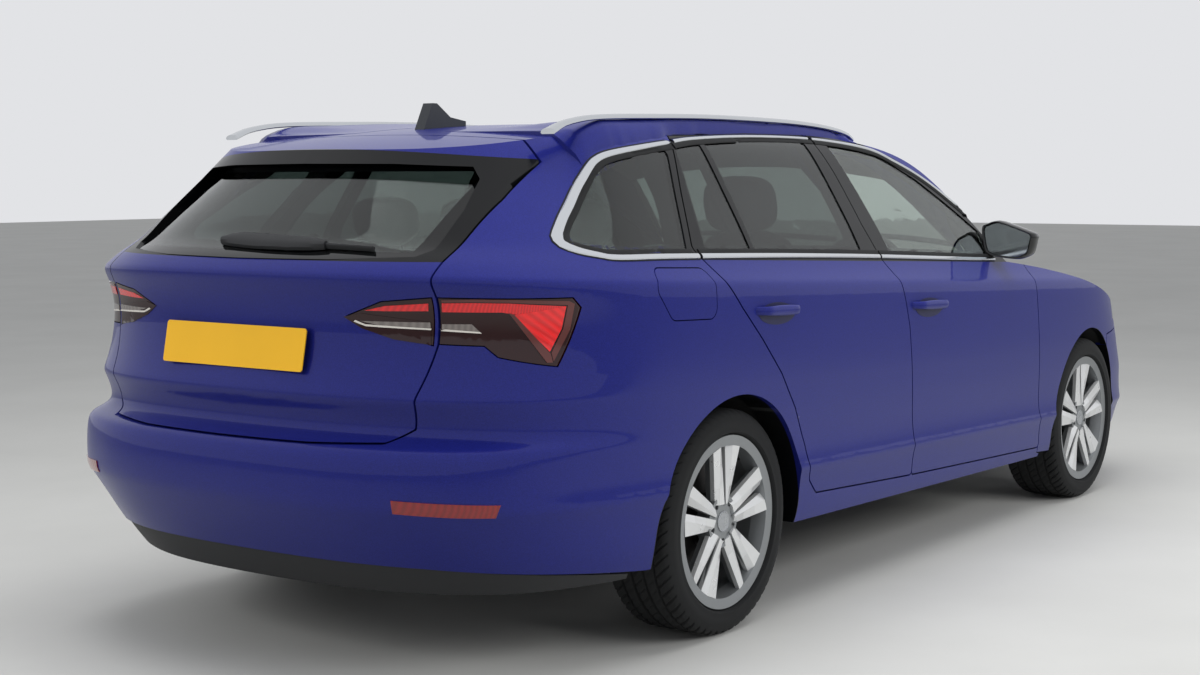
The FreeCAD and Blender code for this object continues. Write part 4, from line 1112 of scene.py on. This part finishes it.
def laid_shape(corners, look, parts, lift=LIFT, sink=SINK, cell=0.02, bridge=None):
    """A closed shell over the skin: lift stands proud of it, and sink reaches into it."""
    look = Vector(look).normalized()
    across = look.cross(Vector((0, 0, 1))).normalized()
    upward = across.cross(look)
    corners = [Vector(c) for c in corners]
    depth = sum(c.dot(look) for c in corners) / len(corners)
    flat = [Vector((c.dot(across), c.dot(upward))) for c in divided(corners, cell)]
    spots, faces = netted(flat, cell)
    starts = [across * spot.x + upward * spot.y + look * (depth - DROP) for spot in spots]
    found = [dropped(start, look, parts) for start in starts]
    front, back = [], []
    for spot, start, (out, reach) in zip(spots, starts, found):
        if bridge:
            near = sorted(other[1] for place, other in zip(spots, found)
                          if (place - spot).length < 3 * cell)
            level = near[len(near) // 2]
            if abs(reach - level) > bridge:
                out, reach = -look, level
        place = start + look * reach
        front.append(place + out * lift)
        back.append(place - out * sink)
    return front + back, closed_shell(front, faces, look)


print("thickness of a shell in mm:", round((LIFT + SINK) / MM, 1))

# %% [markdown]
# A car's lamps are the same on both sides. So a shell is given once, for the
# right, and laid again with its mirror image on the left, as one piece.

# %% The same shell on both sides
def both_sides(name, corners, look, material, body, **options):
    """A laid shell on the right of the tail and its mirror image on the left."""
    made = [laid_shape([(x, y * sign, z) for x, y, z in corners],
                       (look[0], look[1] * sign, look[2]), TAIL_PARTS, **options)
            for sign in (1, -1)]
    return shape_piece(name, made, material, body)


print("triangles of the tail's skin:", len(TAIL_PARTS[1]))

# %% [markdown]
# A tail lamp spreads its light with ribs pressed in the acrylic. They are waves in the material, at
# their real spacing, because they are finer than any net of points should be. The ribs' troughs are
# coloured darker, as painted shade. Each colour of the lamp is a material of its own.

# %% Acrylic with ribs
def fluted(name, colour, spacing, turn):
    """Lamp acrylic with the ribs that spread its light, at a real spacing in millimetres, and
    painted shade in their troughs.
    """
    material, tree, shader = finish_named(name, colour, Roughness=0.12, IOR=1.49,
                                          Coat_Weight=0.6, Coat_Roughness=0.03)
    place = add(tree, "ShaderNodeTexCoord")
    turned = add(tree, "ShaderNodeVectorRotate", {"rotation_type": "Y_AXIS", "Angle": turn},
                 {"Vector": place.outputs["Object"]})
    ribs = add(tree, "ShaderNodeTexWave", {"Scale": 1 / (spacing * MM) / math.tau,
                                           "bands_direction": "X"},
               {"Vector": turned.outputs[0]})
    relief = add(tree, "ShaderNodeBump", {"Strength": 0.5, "Distance": 0.6 * MM},
                 {"Height": ribs.outputs["Fac"]})
    tree.links.new(relief.outputs[0], shader.inputs["Normal"])
    base = linear(colour)
    # the troughs of the ribs get a darker colour, from the same wave as the bump: painted shade
    deep = tuple(c * 0.72 for c in base[:3]) + (1.0,)
    ribs_with_painted_shade = add(tree, "ShaderNodeMix", {"data_type": "RGBA", 6: deep, 7: base},
               {0: ribs.outputs["Fac"]})
    tree.links.new(ribs_with_painted_shade.outputs[2], shader.inputs["Base Color"])
    return material


# a narrow light band, dyed right through
lamp_bright = fluted("acrylic_light_band_red", "#e0141a", 3.0, 0.0)
# wide slanted ribs, whose painted shade in the troughs makes it read as a ribbed triangle from afar
lamp_wedge = fluted("acrylic_wedge_red", "#ee1c1e", 9.0, 0.9)
# the brown smoke between the lights, where the housing shows through
lamp_smoke = moulded("acrylic_smoked_brown", "#5a2f2c", 0.1, 12.0, 0.02, 0.2)
# clear ribs over a grey reflector
lamp_grey = fluted("acrylic_reversing_strip", "#7e7672", 4.0, 0.0)
# a pale painted lip, hardly glossy
pale_edge = moulded("acrylic_pale_edge", "#d9d4cc", 0.2, 8.0, 0.01, 0.05)
print("lamp finishes: 5")

# %% [markdown]
# A tail lamp is a smoked clear cover over red and clear elements. The main
# band of light runs across both lamps. It ends in a ribbed red triangle at the
# corner of the car. Under it lies a clear strip with a fine pale edge. The
# elements are shells of the same acrylic in brighter colours, laid a
# millimetre or two over the cover, so they read the same from every side.

# %% Elements of the lamps on the body
LAMP_LOOK = (0.79, 0.61, 0.0)
both_sides("lamp_band", [(-2.128, -0.604, 0.977), (-2.096, -0.679, 0.978), (-2.038, -0.744, 0.976),
                         (-1.911, -0.822, 0.965), (-1.916, -0.818, 0.938), (-2.028, -0.747, 0.949),
                         (-2.047, -0.728, 0.954), (-2.128, -0.604, 0.955)],
           LAMP_LOOK, lamp_bright, "body", cell=0.015)
both_sides("lamp_wedge", [(-2.027, -0.747, 0.947), (-1.911, -0.822, 0.965), (-1.920, -0.814, 0.909),
                          (-1.949, -0.799, 0.853), (-1.986, -0.775, 0.897)],
           LAMP_LOOK, lamp_wedge, "body", cell=0.012, lift=0.0022)
both_sides("lamp_edge_smoke", [(-2.128, -0.603, 0.985), (-2.096, -0.681, 0.987),
                               (-2.030, -0.750, 0.985), (-1.905, -0.826, 0.978),
                               (-1.888, -0.832, 0.970), (-1.900, -0.826, 0.906),
                               (-1.938, -0.803, 0.828), (-1.943, -0.800, 0.850),
                               (-1.915, -0.816, 0.909), (-1.906, -0.824, 0.968),
                               (-2.038, -0.744, 0.978), (-2.096, -0.679, 0.980),
                               (-2.128, -0.604, 0.979)],
           LAMP_LOOK, lamp_smoke, "body", cell=0.012)
both_sides("lamp_fold", [(-2.038, -0.741, 0.953), (-2.026, -0.749, 0.948), (-1.948, -0.801, 0.848),
                         (-1.942, -0.803, 0.826), (-1.955, -0.795, 0.826)],
           LAMP_LOOK, lamp_smoke, "body", cell=0.012, lift=0.0026)
both_sides("lamp_reversing", [(-2.128, -0.604, 0.925), (-2.091, -0.668, 0.925),
                              (-2.079, -0.685, 0.905), (-2.127, -0.602, 0.911)],
           LAMP_LOOK, lamp_grey, "body", cell=0.012)
both_sides("lamp_reversing_edge", [(-2.130, -0.600, 0.913), (-2.079, -0.684, 0.906),
                                   (-2.076, -0.687, 0.902), (-2.128, -0.600, 0.908)],
           LAMP_LOOK, pale_edge, "body", cell=0.012, lift=0.0022)
print("elements on the body laid")

# %% [markdown]
# The lamps go on across the tailgate, and those parts swing up with it. A slit
# runs round the cover there, so these shells bridge it.

# %% Elements of the lamps on the tailgate
REAR_LOOK = (1.0, 0.25, 0.0)
both_sides("gate_lamp_skirt", [(-2.209, -0.350, 0.938), (-2.199, -0.400, 0.948),
                               (-2.140, -0.577, 0.930), (-2.134, -0.577, 0.873),
                               (-2.176, -0.486, 0.885), (-2.200, -0.400, 0.911)],
           REAR_LOOK, lamp_base, "tailgate", cell=0.008, lift=0.0020, bridge=0.004)
both_sides("gate_lamp_band", [(-2.199, -0.412, 0.955), (-2.188, -0.469, 0.968),
                              (-2.149, -0.578, 0.976), (-2.145, -0.575, 0.957),
                              (-2.185, -0.465, 0.955)],
           REAR_LOOK, lamp_bright, "tailgate", cell=0.012)
both_sides("gate_lamp_strip", [(-2.198, -0.398, 0.929), (-2.140, -0.577, 0.929),
                               (-2.138, -0.577, 0.915), (-2.182, -0.462, 0.917)],
           REAR_LOOK, lamp_grey, "tailgate", cell=0.008, lift=0.0032, bridge=0.004)
both_sides("gate_lamp_edge", [(-2.203, -0.385, 0.931), (-2.196, -0.412, 0.921),
                              (-2.138, -0.578, 0.914), (-2.138, -0.578, 0.910),
                              (-2.196, -0.414, 0.916), (-2.204, -0.380, 0.927)],
           REAR_LOOK, pale_edge, "tailgate", cell=0.008, lift=0.0040, bridge=0.004)
print("elements on the tailgate laid")

# %% [markdown]
# Each headlamp has three round projector lenses behind its cover. The lamp is
# felt for from the front at three distances from the middle, and a turned lens
# as large as the lamp is tall there is set on it.

# %% Headlamp lenses
# clear and polished, so it shows a small bright spot
lens_clear = moulded("acrylic_projector_lens", "#dfe5ea", 0.04, 12.0, 0.01, 0.05)
LENS_PLACES = (0.50, 0.58, 0.66)
LENS_LARGEST, LENS_SMALLEST, LENS_SHARE = 0.030, 0.012, 0.36


def lens(hit, out, radius):
    """A turned lens with a rim and a crowned middle."""
    return turned_shape([(-0.006, radius), (0.0005, radius), (0.0022, radius * 0.9),
                         (0.0015, radius * 0.78), (0.0042, radius * 0.5),
                         (0.0050, radius * 0.2), (0.0051, 0.0004)], hit, out, 32)


for side, sign in (("left", 1), ("right", -1)):
    lenses = []
    for y in LENS_PLACES:
        hits = [on_front(sign * y, 0.50 + 0.005 * k) for k in range(100)]
        lamp = [hit[0].z for hit in hits if hit and hit[2] == "headlamps"]
        if lamp:
            middle, tall = (min(lamp) + max(lamp)) / 2, max(lamp) - min(lamp)
            radius = min(LENS_LARGEST, tall * LENS_SHARE)
            if radius >= LENS_SMALLEST:
                hit, out, _ = on_front(sign * y, middle)
                lenses.append(lens(hit, out, radius))
    if lenses:
        shape_piece(f"headlamp_lenses_{side}", lenses, lens_clear, "body")
    print(side, "headlamp lenses:", len(lenses))

# %% [markdown]
# A reflector low on each corner of the bumper throws a follower's light back.
# It is red acrylic with prisms behind, drawn as ribs with painted shade in their troughs, and
# stands 3 mm proud.

# %% Reflectors
reflector_red = fluted("acrylic_reflector_red", "#8a1416", 5.0, 0.0)
both_sides("rear_reflectors", [(-2.262, -0.549, 0.500), (-2.180, -0.700, 0.492),
                               (-2.104, -0.765, 0.487), (-2.109, -0.754, 0.456),
                               (-2.185, -0.690, 0.459), (-2.256, -0.549, 0.467)],
           (0.85, 0.5, 0.0), reflector_red, "body", cell=0.02, lift=0.003)
print("reflectors laid")

# %% [markdown]
# The wheel's ten blades come in pairs. Each blade is faceted: a ridge runs from
# the hub to the rim off its middle, one side of it catches the light and the
# other falls back to the opening. The blades are lofts through four stations
# between the hub and the inside of the rim, bright on the face.

# %% Wheel blades
# machined faces under lacquer, brighter than the wheel's silver
blade_silver = cast_metal("alloy_blade_face_silver", "#dcdddd", 0.28, 0.55, 1.2)
BLADE_ROOT, BLADE_END, BLADE_PROUD, BLADE_THICK = 0.050, 0.2165, 0.002, 0.014
BLADE_STATIONS = (0.0, 0.3, 0.65, 1.0)
BLADE_EDGE_ANGLE = 12
BLADE_PAIR = [
    # left, ridge and right corners, each (across, outward) at the hub, then at the rim
    (((-0.0360, 0.0800), (-0.0250, 0.0905), (-0.0040, 0.0925)),
     ((-0.0740, 0.0990), (-0.0320, 0.0965), (-0.0120, 0.0850))),
    (((0.0035, 0.0920), (0.0100, 0.0925), (0.0330, 0.0805)),
     ((0.0160, 0.0805), (0.0360, 0.0945), (0.0650, 0.0990))),
]


def blade_shape(axle_x, half_track, sign, turn, near_hub, near_rim):
    """A loft of a front row and a back row of corners, turned about the axle."""
    loops = []
    for t in BLADE_STATIONS:
        front, back = [], []
        for (u0, v0), (u1, v1) in zip(near_hub, near_rim):
            u, v = u0 + (u1 - u0) * t, v0 + (v1 - v0) * t + BLADE_PROUD
            end = math.sqrt(BLADE_END ** 2 - u1 ** 2)
            reach = BLADE_ROOT + (end - BLADE_ROOT) * t
            for row, depth in ((front, v), (back, v - BLADE_THICK)):
                across = u * math.cos(turn) + reach * math.sin(turn)
                upward = reach * math.cos(turn) - u * math.sin(turn)
                row.append(Vector((axle_x + across, sign * (half_track + depth),
                                   TYRE_R + upward)))
        loops.append(front + back[::-1])
    return lofted(loops)


for end, (axle_x, half_track) in AXLES.items():
    for side, sign in (("left", 1), ("right", -1)):
        blades = [blade_shape(axle_x, half_track, sign, math.radians(72 * k), *corners)
                  for k in range(5) for corners in BLADE_PAIR]
        shape_piece(f"wheel_blades_{end}_{side}", blades, blade_silver,
                    f"wheel_{end}_{side}", BLADE_EDGE_ANGLE)
print("blades on a wheel:", len(blades))

# %% [markdown]
# The bright frame round the side windows is a rolled strip with a rounded
# face, wide at its rear point and narrow towards the front. It is drawn as a
# chain of points in the side view, each with its width, smoothed, laid on the
# skin, and given its section there. A rubber lip lies under it. Both are cut
# where one body ends, so that each door takes its own length along.

# %% Window trim
PATH_STEP = 0.012
LIP_WIDTH, LIP_GAP, LIP_HEIGHT = 0.020, 0.003, 0.003
TRIM_HEIGHT, RUBBER_HEIGHT, RUBBER_EXTRA = 0.006, 0.0025, 0.008


def moved_in(line, inward):
    """The line's points moved to the window's side by half their width, with an even width."""
    moved = []
    for i, (x, z, width) in enumerate(line):
        ahead, behind = line[min(i + 1, len(line) - 1)], line[max(i - 1, 0)]
        along = Vector((ahead[0] - behind[0], ahead[1] - behind[1])).normalized()
        shift = inward * (width / 2 + LIP_GAP)
        moved.append((x + along.y * shift, z - along.x * shift, LIP_WIDTH))
    return moved


def trim_side(name, side, line, extra, height, material):
    """A strip on the skin, cut where one body ends. line holds (x, z, width) in metres."""
    spots = []
    for x, z, width in smooth_path(line, PATH_STEP):
        found = on_side(side, x, z)
        if found:
            spots.append((found[0], found[1], width + extra, BODY_OF[found[2]]))
    runs = []
    for spot in spots:
        if runs and runs[-1][-1][3] == spot[3]:
            runs[-1].append(spot)
        else:
            runs.append([spot])
    runs = [r for r in runs if len(r) > 3]
    for i, run in enumerate(runs):
        shape_piece(f"{name}_{side}_{i}", [strip_shape([s[:3] for s in run], height)],
                    material, run[0][3], 60)
    return len(runs)


TRIM_TOP = [(-1.829, 1.121, 0.034), (-1.825, 1.131, 0.034), (-1.808, 1.146, 0.030),
            (-1.764, 1.178, 0.028), (-1.703, 1.219, 0.028), (-1.641, 1.266, 0.026),
            (-1.584, 1.311, 0.024), (-1.549, 1.330, 0.022), (-1.494, 1.345, 0.020),
            (-1.384, 1.360, 0.018), (-1.196, 1.380, 0.016), (-1.036, 1.394, 0.014),
            (-0.713, 1.405, 0.013), (-0.343, 1.402, 0.012), (-0.016, 1.376, 0.012),
            (0.141, 1.333, 0.011), (0.299, 1.273, 0.010), (0.455, 1.189, 0.010),
            (0.620, 1.085, 0.010)]
TRIM_LOW = [(-1.8285, 1.127, 0.034), (-1.8265, 1.114, 0.032), (-1.798, 1.098, 0.026),
            (-1.746, 1.085, 0.020), (-1.687, 1.077, 0.018), (-1.485, 1.073, 0.017),
            (-1.131, 1.062, 0.016), (-0.793, 1.050, 0.015), (-0.318, 1.030, 0.014),
            (0.370, 0.996, 0.013), (0.511, 0.990, 0.012), (0.600, 0.985, 0.010)]
RING_REAR = (moved_in(TRIM_LOW[1:4], -1)[::-1] + moved_in(TRIM_TOP[1:4], 1))
for side in ("left", "right"):
    count = 0
    for kind, extra, height, material in (
            ("window_trim", 0.0, TRIM_HEIGHT, bright_chrome),
            ("trim_rubber", RUBBER_EXTRA, RUBBER_HEIGHT, seal_rubber)):
        for name, line in (("top", TRIM_TOP), ("low", TRIM_LOW)):
            count += trim_side(f"{kind}_{name}", side, line, extra, height, material)
    for name, line in (("top", moved_in(TRIM_TOP[3:], 1)), ("low", moved_in(TRIM_LOW[3:], -1)),
                       ("rear", RING_REAR)):
        count += trim_side(f"trim_lip_{name}", side, line, 0.0, LIP_HEIGHT, seal_rubber)
    print(side, "trim pieces:", count)

# %% [markdown]
# The roof rails are polished bars that lie close to the roof, with a wide foot
# at each end. Each one is a strip along a flowing line, with a flat underside
# and rounded upper corners, and it replaces the plain bar of the CAD model.

# %% Roof rails
RAIL_Y, RAIL_HEIGHT, RAIL_STEP = 0.600, 0.015, 0.02
RAIL = [(-1.690, 1.405, 0.050), (-1.655, 1.418, 0.040), (-1.600, 1.432, 0.031),
        (-1.468, 1.447, 0.027), (-1.175, 1.456, 0.026), (-0.944, 1.460, 0.026),
        (-0.707, 1.460, 0.026), (-0.432, 1.456, 0.026), (-0.235, 1.447, 0.026),
        (-0.100, 1.434, 0.026), (-0.035, 1.421, 0.025), (-0.004, 1.408, 0.022)]
RAIL_SECTION = [(-0.5, -0.3), (-0.46, 0.1), (-0.34, 0.36), (-0.15, 0.5), (0.15, 0.5),
                (0.34, 0.36), (0.46, 0.1), (0.5, -0.3), (0.40, -0.5), (-0.40, -0.5)]
rails = []
for sign in (-1, 1):
    spots = [(Vector((x, sign * RAIL_Y, z)), Vector((0, 0, 1)), width)
             for x, z, width in smooth_path(RAIL, RAIL_STEP)]
    rails.append(strip_shape(spots, RAIL_HEIGHT, RAIL_SECTION))
rail_bars = shape_piece("roof_rail_bars", rails, polished_rail, "body", 50)
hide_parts("roof_rails")
print("rail bars:", len(rails))

# %% [markdown]
# On the real car the roof rises to meet the rails, and its edge falls steeply
# outside them. The CAD roof is a little lower there. So a thin painted shell
# lies over it on each side: under the rail it is as high as the rail's
# underside, and it runs out to nothing at both of its edges and at both ends.

# %% Roof edges under the rails
EDGE_WEIGHTS = [(0.0, 0.0), (0.25, 0.55), (0.5, 0.88), (0.75, 0.98), (1.0, 1.0)]
EDGE_INNER = [(0.575, 0.99), (0.540, 0.94), (0.490, 0.80), (0.430, 0.60), (0.360, 0.36),
              (0.290, 0.16), (0.220, 0.04), (0.170, 0.0)]
EDGE_OUTERMOST, EDGE_INNERMOST, EDGE_STEP = 0.685, 0.610, 0.003
TRIM_CLEARANCE, RAIL_UNDERSIDE = 0.014, 0.009
EDGE_PROUD, EDGE_DEEP = 0.0004, 0.004
REAR_END, REAR_RUN_OUT, FRONT_RUN_OUT = 1.660, 0.22, 0.08


def from_above(side, x, y):
    """Where a ray from above meets the car's side or roof."""
    return felt(SIDE_PARTS[side], (x, y, 2.0), (0, 0, -1))


def roof_corner(side, sign, x, trim_z):
    """How far out the roof still lies clear over the window trim."""
    outer = EDGE_OUTERMOST
    while outer > EDGE_INNERMOST:
        found = from_above(side, x, sign * outer)
        if found and found[0].z > trim_z + TRIM_CLEARANCE and "door" not in found[2]:
            break
        outer -= EDGE_STEP
    return outer


trim_line = smooth_path(TRIM_TOP, PATH_STEP)
edges = []
for side, sign in (("left", 1), ("right", -1)):
    loops = []
    for x, z, _ in smooth_path(RAIL, RAIL_STEP)[3:-1]:
        trim_z = min(trim_line, key=lambda p: abs(p.x - x)).y
        outer = roof_corner(side, sign, x, trim_z)
        spans = [(outer + (RAIL_Y - outer) * t, weight) for t, weight in EDGE_WEIGHTS]
        ramp = min(1.0, max(0.0, (x + REAR_END) / REAR_RUN_OUT), max(0.0, -x / FRONT_RUN_OUT))
        ramp = ramp * ramp * (3 - 2 * ramp)
        rise = z - RAIL_UNDERSIDE - from_above(side, x, sign * RAIL_Y)[0].z
        top, low = [], []
        for y, weight in spans + EDGE_INNER:
            skin = from_above(side, x, sign * y)[0].z
            top.append(Vector((x, sign * y, skin + EDGE_PROUD + rise * weight * ramp)))
            low.append(Vector((x, sign * y, skin - EDGE_DEEP)))
        loops.append(top + low[::-1])
    edges.append(lofted(loops))
shape_piece("roof_edges", edges, blue_shell, "body", 40)
print("places along a roof edge:", len(loops))

# %% [markdown]
# The mirrors are moulded shells in black gloss, each round a silvered glass.
# Their outline is the one that the picture shows from behind. It is drawn in
# towards the nose through ten loops, the first ones of which make the recess
# that the glass lies in. A short arm carries the shell on the door.

# %% Door mirrors
MIRROR_BACK = [(-0.829, 1.102), (-0.850, 1.114), (-0.874, 1.122), (-0.905, 1.119),
               (-1.000, 1.087), (-1.019, 1.074), (-1.016, 1.052), (-1.008, 1.018),
               (-0.996, 1.002), (-0.958, 0.990), (-0.890, 0.996), (-0.862, 1.002),
               (-0.842, 1.018), (-0.832, 1.060)]
MIRROR_X = 0.560
MIRROR_LOOPS = [(0.012, 0.86), (0.010, 0.90), (0.000, 0.93), (-0.002, 0.965), (0.002, 1.0),
                (0.030, 1.03), (0.062, 0.99), (0.086, 0.86), (0.098, 0.66), (0.103, 0.36)]
GLASS_SHARE, GLASS_FRONT, GLASS_BACK = 0.885, 0.0065, 0.011
ARM_LINE = [(0.846, 1.012), (0.90, 1.018), (0.95, 1.010)]
ARM_WIDTHS = (0.075, 0.062, 0.055)
# silver behind glass: a full mirror
mirror_glass = cast_metal("silvered_mirror_glass", "#cfd6da", 0.05, 1.0, 30.0)
mirror_ring = smooth_ring(MIRROR_BACK, 4)
mirror_middle = sum(mirror_ring, Vector((0, 0))) / len(mirror_ring)


def mirror_loop(sign, ahead, scale):
    """The outline scaled about its middle and moved ahead."""
    scaled = [mirror_middle + (p - mirror_middle) * scale for p in mirror_ring]
    return [Vector((MIRROR_X + ahead, -sign * p.x, p.y)) for p in scaled]


for side, sign in (("left", 1), ("right", -1)):
    door = f"door_front_{side}"
    foot = [Vector((0.615, sign * y, z)) for y, z in ARM_LINE]
    arm = strip_shape([(p, Vector((0, 0, 1)), width) for p, width in zip(foot, ARM_WIDTHS)],
                      0.030, ROUND_SECTION)
    shell = lofted([mirror_loop(sign, *loop) for loop in MIRROR_LOOPS])
    housing = shape_piece(f"mirror_housing_{side}", [shell, arm], gloss_black, door, 40)
    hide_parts(f"mirror_{side}")
    pane = lofted([mirror_loop(sign, GLASS_BACK, GLASS_SHARE),
                   mirror_loop(sign, GLASS_FRONT, GLASS_SHARE)])
    shape_piece(f"mirror_glass_{side}", [pane], mirror_glass, door, 20)
print("mirror outline points:", len(mirror_ring))

# %% [markdown]
# A door handle is a bar in body colour that stands 25 mm off the skin over a
# shallow dark dish. Each bar is a round section carried along an arc whose
# ends run into the door.

# %% Door handles
# each: rear end, front end, middle of its dish, height
HANDLES = {"door_front": (-0.173, 0.084, -0.047, 0.857),
           "door_rear": (-1.149, -0.914, -1.040, 0.899)}
HANDLE_RAKE, BAR_OVER_DISH = 0.03, 0.007


def handle_height(t):
    """How far the bar stands off the skin at a share t of its length."""
    ramp = min(1.0, t / 0.2, (1 - t) / 0.2)
    return -0.006 + 0.030 * math.sin(ramp * math.pi / 2)


for side, sign in (("left", 1), ("right", -1)):
    for door, (low_x, high_x, middle_x, z) in HANDLES.items():
        spots = []
        for k in range(25):
            t = k / 24
            x = low_x + (high_x - low_x) * t
            height = z + BAR_OVER_DISH - (x - middle_x) * HANDLE_RAKE
            place, out, _ = on_side(side, x, height)
            width = 0.022 + 0.008 * math.sin(math.pi * t)
            spots.append((place + out * handle_height(t), out, width))
        shape_piece(f"{door}_handle_{side}", [strip_shape(spots, 0.012, ROUND_SECTION)],
                    blue_shell, f"{door}_{side}", 50)
print("handles:", 2 * len(HANDLES))

# %% [markdown]
# A shallow dish under each bar gives the fingers room. It would be pressed into
# the door's skin. Here it is a dark oval laid on the skin, because the shade
# in the dish is what shows from the camera's distance.

# %% Dishes under the handles
DISH_HALF, DISH_HIGH, DISH_POINTS, DISH_BELOW = 0.100, 0.032, 28, 0.003
# the same lacquer, as dark as the shade under the bar makes it
dish_blue = moulded("painted_handle_dish", "#0c0e3a", 0.45, 8.0, 0.01, 0.05)
for side, sign in (("left", 1), ("right", -1)):
    for door, (low_x, high_x, middle_x, z) in HANDLES.items():
        corners = []
        for k in range(DISH_POINTS):
            angle = math.tau * k / DISH_POINTS
            x = (low_x + high_x) / 2 + DISH_HALF * math.cos(angle)
            height = z - DISH_BELOW - (x - middle_x) * HANDLE_RAKE + DISH_HIGH * math.sin(angle)
            corners.append(on_side(side, x, height)[0])
        dish = laid_shape(corners, (0, -sign, 0), SIDE_PARTS[side], 0.0008, 0.002, 0.015)
        shape_piece(f"{door}_dish_{side}", [dish], dish_blue, f"{door}_{side}")
print("dishes:", 2 * len(HANDLES))

# %% [markdown]
# The rear wiper lies at the foot of the window: a long cover over its arm and
# a thin blade. Two longer wipers rest at the foot of the windscreen. Each is a
# strip whose places are felt on the car and lifted a few millimetres.

# %% Wipers
def bar_on(feel, path, height):
    """A bar on the front or the tail: path holds (y, z, width, lift)."""
    spots = []
    for y, z, width, lift in smooth_path(path, PATH_STEP):
        found = feel(y, z)
        if found:
            spots.append((found[0] + found[1] * lift, found[1], width))
    return strip_shape(spots, height)


REAR_WIPER = [(0.112, 1.112, 0.024, 0.004), (0.06, 1.116, 0.050, 0.005),
              (-0.06, 1.112, 0.056, 0.006), (-0.20, 1.108, 0.046, 0.006),
              (-0.262, 1.106, 0.020, 0.004)]
REAR_BLADE = [(-0.250, 1.107, 0.012, 0.003), (-0.33, 1.104, 0.010, 0.003),
              (-0.405, 1.100, 0.007, 0.003)]
shape_piece("rear_wiper", [bar_on(on_tail, REAR_WIPER, 0.016), bar_on(on_tail, REAR_BLADE, 0.012)],
            grained_black, "tailgate")
front_blades = []
for first_y in (-0.62, 0.02):
    path = [(first_y, 1.020, 0.014, 0.003), (first_y + 0.25, 1.034, 0.014, 0.004),
            (first_y + 0.56, 1.044, 0.010, 0.003)]
    front_blades.append(bar_on(on_front, path, 0.016))
shape_piece("front_wipers", front_blades, grained_black, "body")
print("wiper pieces:", 2 + len(front_blades))

# %% [markdown]
# The grille has upright ribs in its upper opening and two level ones in the
# lower. The picture doesn't show the front, so they are plain. Each rib is
# felt for, so it ends 8 mm inside the opening whatever the opening's shape.

# %% Grille ribs
RIB_SPACING, RIB_WIDTH, RIB_INSET = 0.034, 0.008, 0.008


def grille_heights(y, low, count):
    """The heights at which the grille lies, 4 mm apart, over a place across the car."""
    hits = [on_front(y, low + 0.004 * j) for j in range(count)]
    return [hit[0].z for hit in hits if hit and hit[2] == "grille"]


ribs = []
for k in range(-9, 10):
    y = RIB_SPACING * k
    seen = grille_heights(y, 0.560, 50)
    if len(seen) > 8:
        low, high = min(seen) + RIB_INSET, max(seen) - RIB_INSET
        ribs.append(bar_on(on_front, [(y, z, RIB_WIDTH, 0.0)
                                      for z in (low, (low + high) / 2, high)], 0.006))
for share in (0.3, 0.7):
    seen = grille_heights(0.40, 0.250, 60)
    if seen:
        z = min(seen) + (max(seen) - min(seen)) * share
        ribs.append(bar_on(on_front, [(y, z, RIB_WIDTH, 0.0) for y in (-0.50, 0.0, 0.50)], 0.005))
if ribs:
    shape_piece("grille_ribs", ribs, gloss_black, "body")
print("grille ribs:", len(ribs))

# %% [markdown]
# Number plates are flat sheets of acrylic, 520 by 111 mm, with rounded corners,
# yellow behind and white in front. They are blank. A plate doesn't bend with
# the skin, so the skin is felt for along its lower and its upper edge, and the
# sheet is leant against the places that stand out most.

# %% Number plates
PLATE_WIDE, PLATE_HIGH, PLATE_ROUNDING = 0.520, 0.111, 0.008


def plate_outline():
    """The sheet's outline from its foot, with rounded corners."""
    half, inset = PLATE_WIDE / 2, PLATE_ROUNDING
    outline = []
    for cx, cy, start in ((half - inset, PLATE_HIGH - inset, 0),
                          (inset - half, PLATE_HIGH - inset, 90),
                          (inset - half, inset, 180), (half - inset, inset, 270)):
        outline += [(cx + inset * math.cos(math.radians(start + 15 * k)),
                     cy + inset * math.sin(math.radians(start + 15 * k))) for k in range(7)]
    return outline


def plate(name, feel, sign, middle_y, low, high, material, body, lift=0.003, thickness=0.003):
    """A sheet just proud of the skin behind it. sign is +1 in front."""
    reach = []
    for z in (low, high):
        hits = [feel(middle_y + y, z) for y in (-0.25, -0.12, 0, 0.12, 0.25)]
        reach.append(max(hit[0].x * sign for hit in hits if hit) * sign + sign * lift)
    foot, head = Vector((reach[0], 0, low)), Vector((reach[1], 0, high))
    rise = (head - foot).normalized()
    out = Vector((sign, 0, 0))
    out = (out - rise * out.dot(rise)).normalized()
    back = [foot + rise * v + Vector((0, middle_y + u, 0)) for u, v in plate_outline()]
    return shape_piece(name, [lofted([back, [p + out * thickness for p in back]])], material, body)


# dyed sheets with a satin face
plate_yellow = moulded("acrylic_plate_yellow", "#f0b60e", 0.3, 6.0, 0.02, 0.05)
plate_white = moulded("acrylic_plate_white", "#e4e4e0", 0.3, 6.0, 0.02, 0.03)
plate("number_plate_rear", on_tail, -1, 0.014, 0.795, 0.905, plate_yellow, "tailgate")
plate("number_plate_front", on_front, 1, 0.0, 0.395, 0.506, plate_white, "body", 0.014, 0.004)
print("plate corners:", len(plate_outline()))
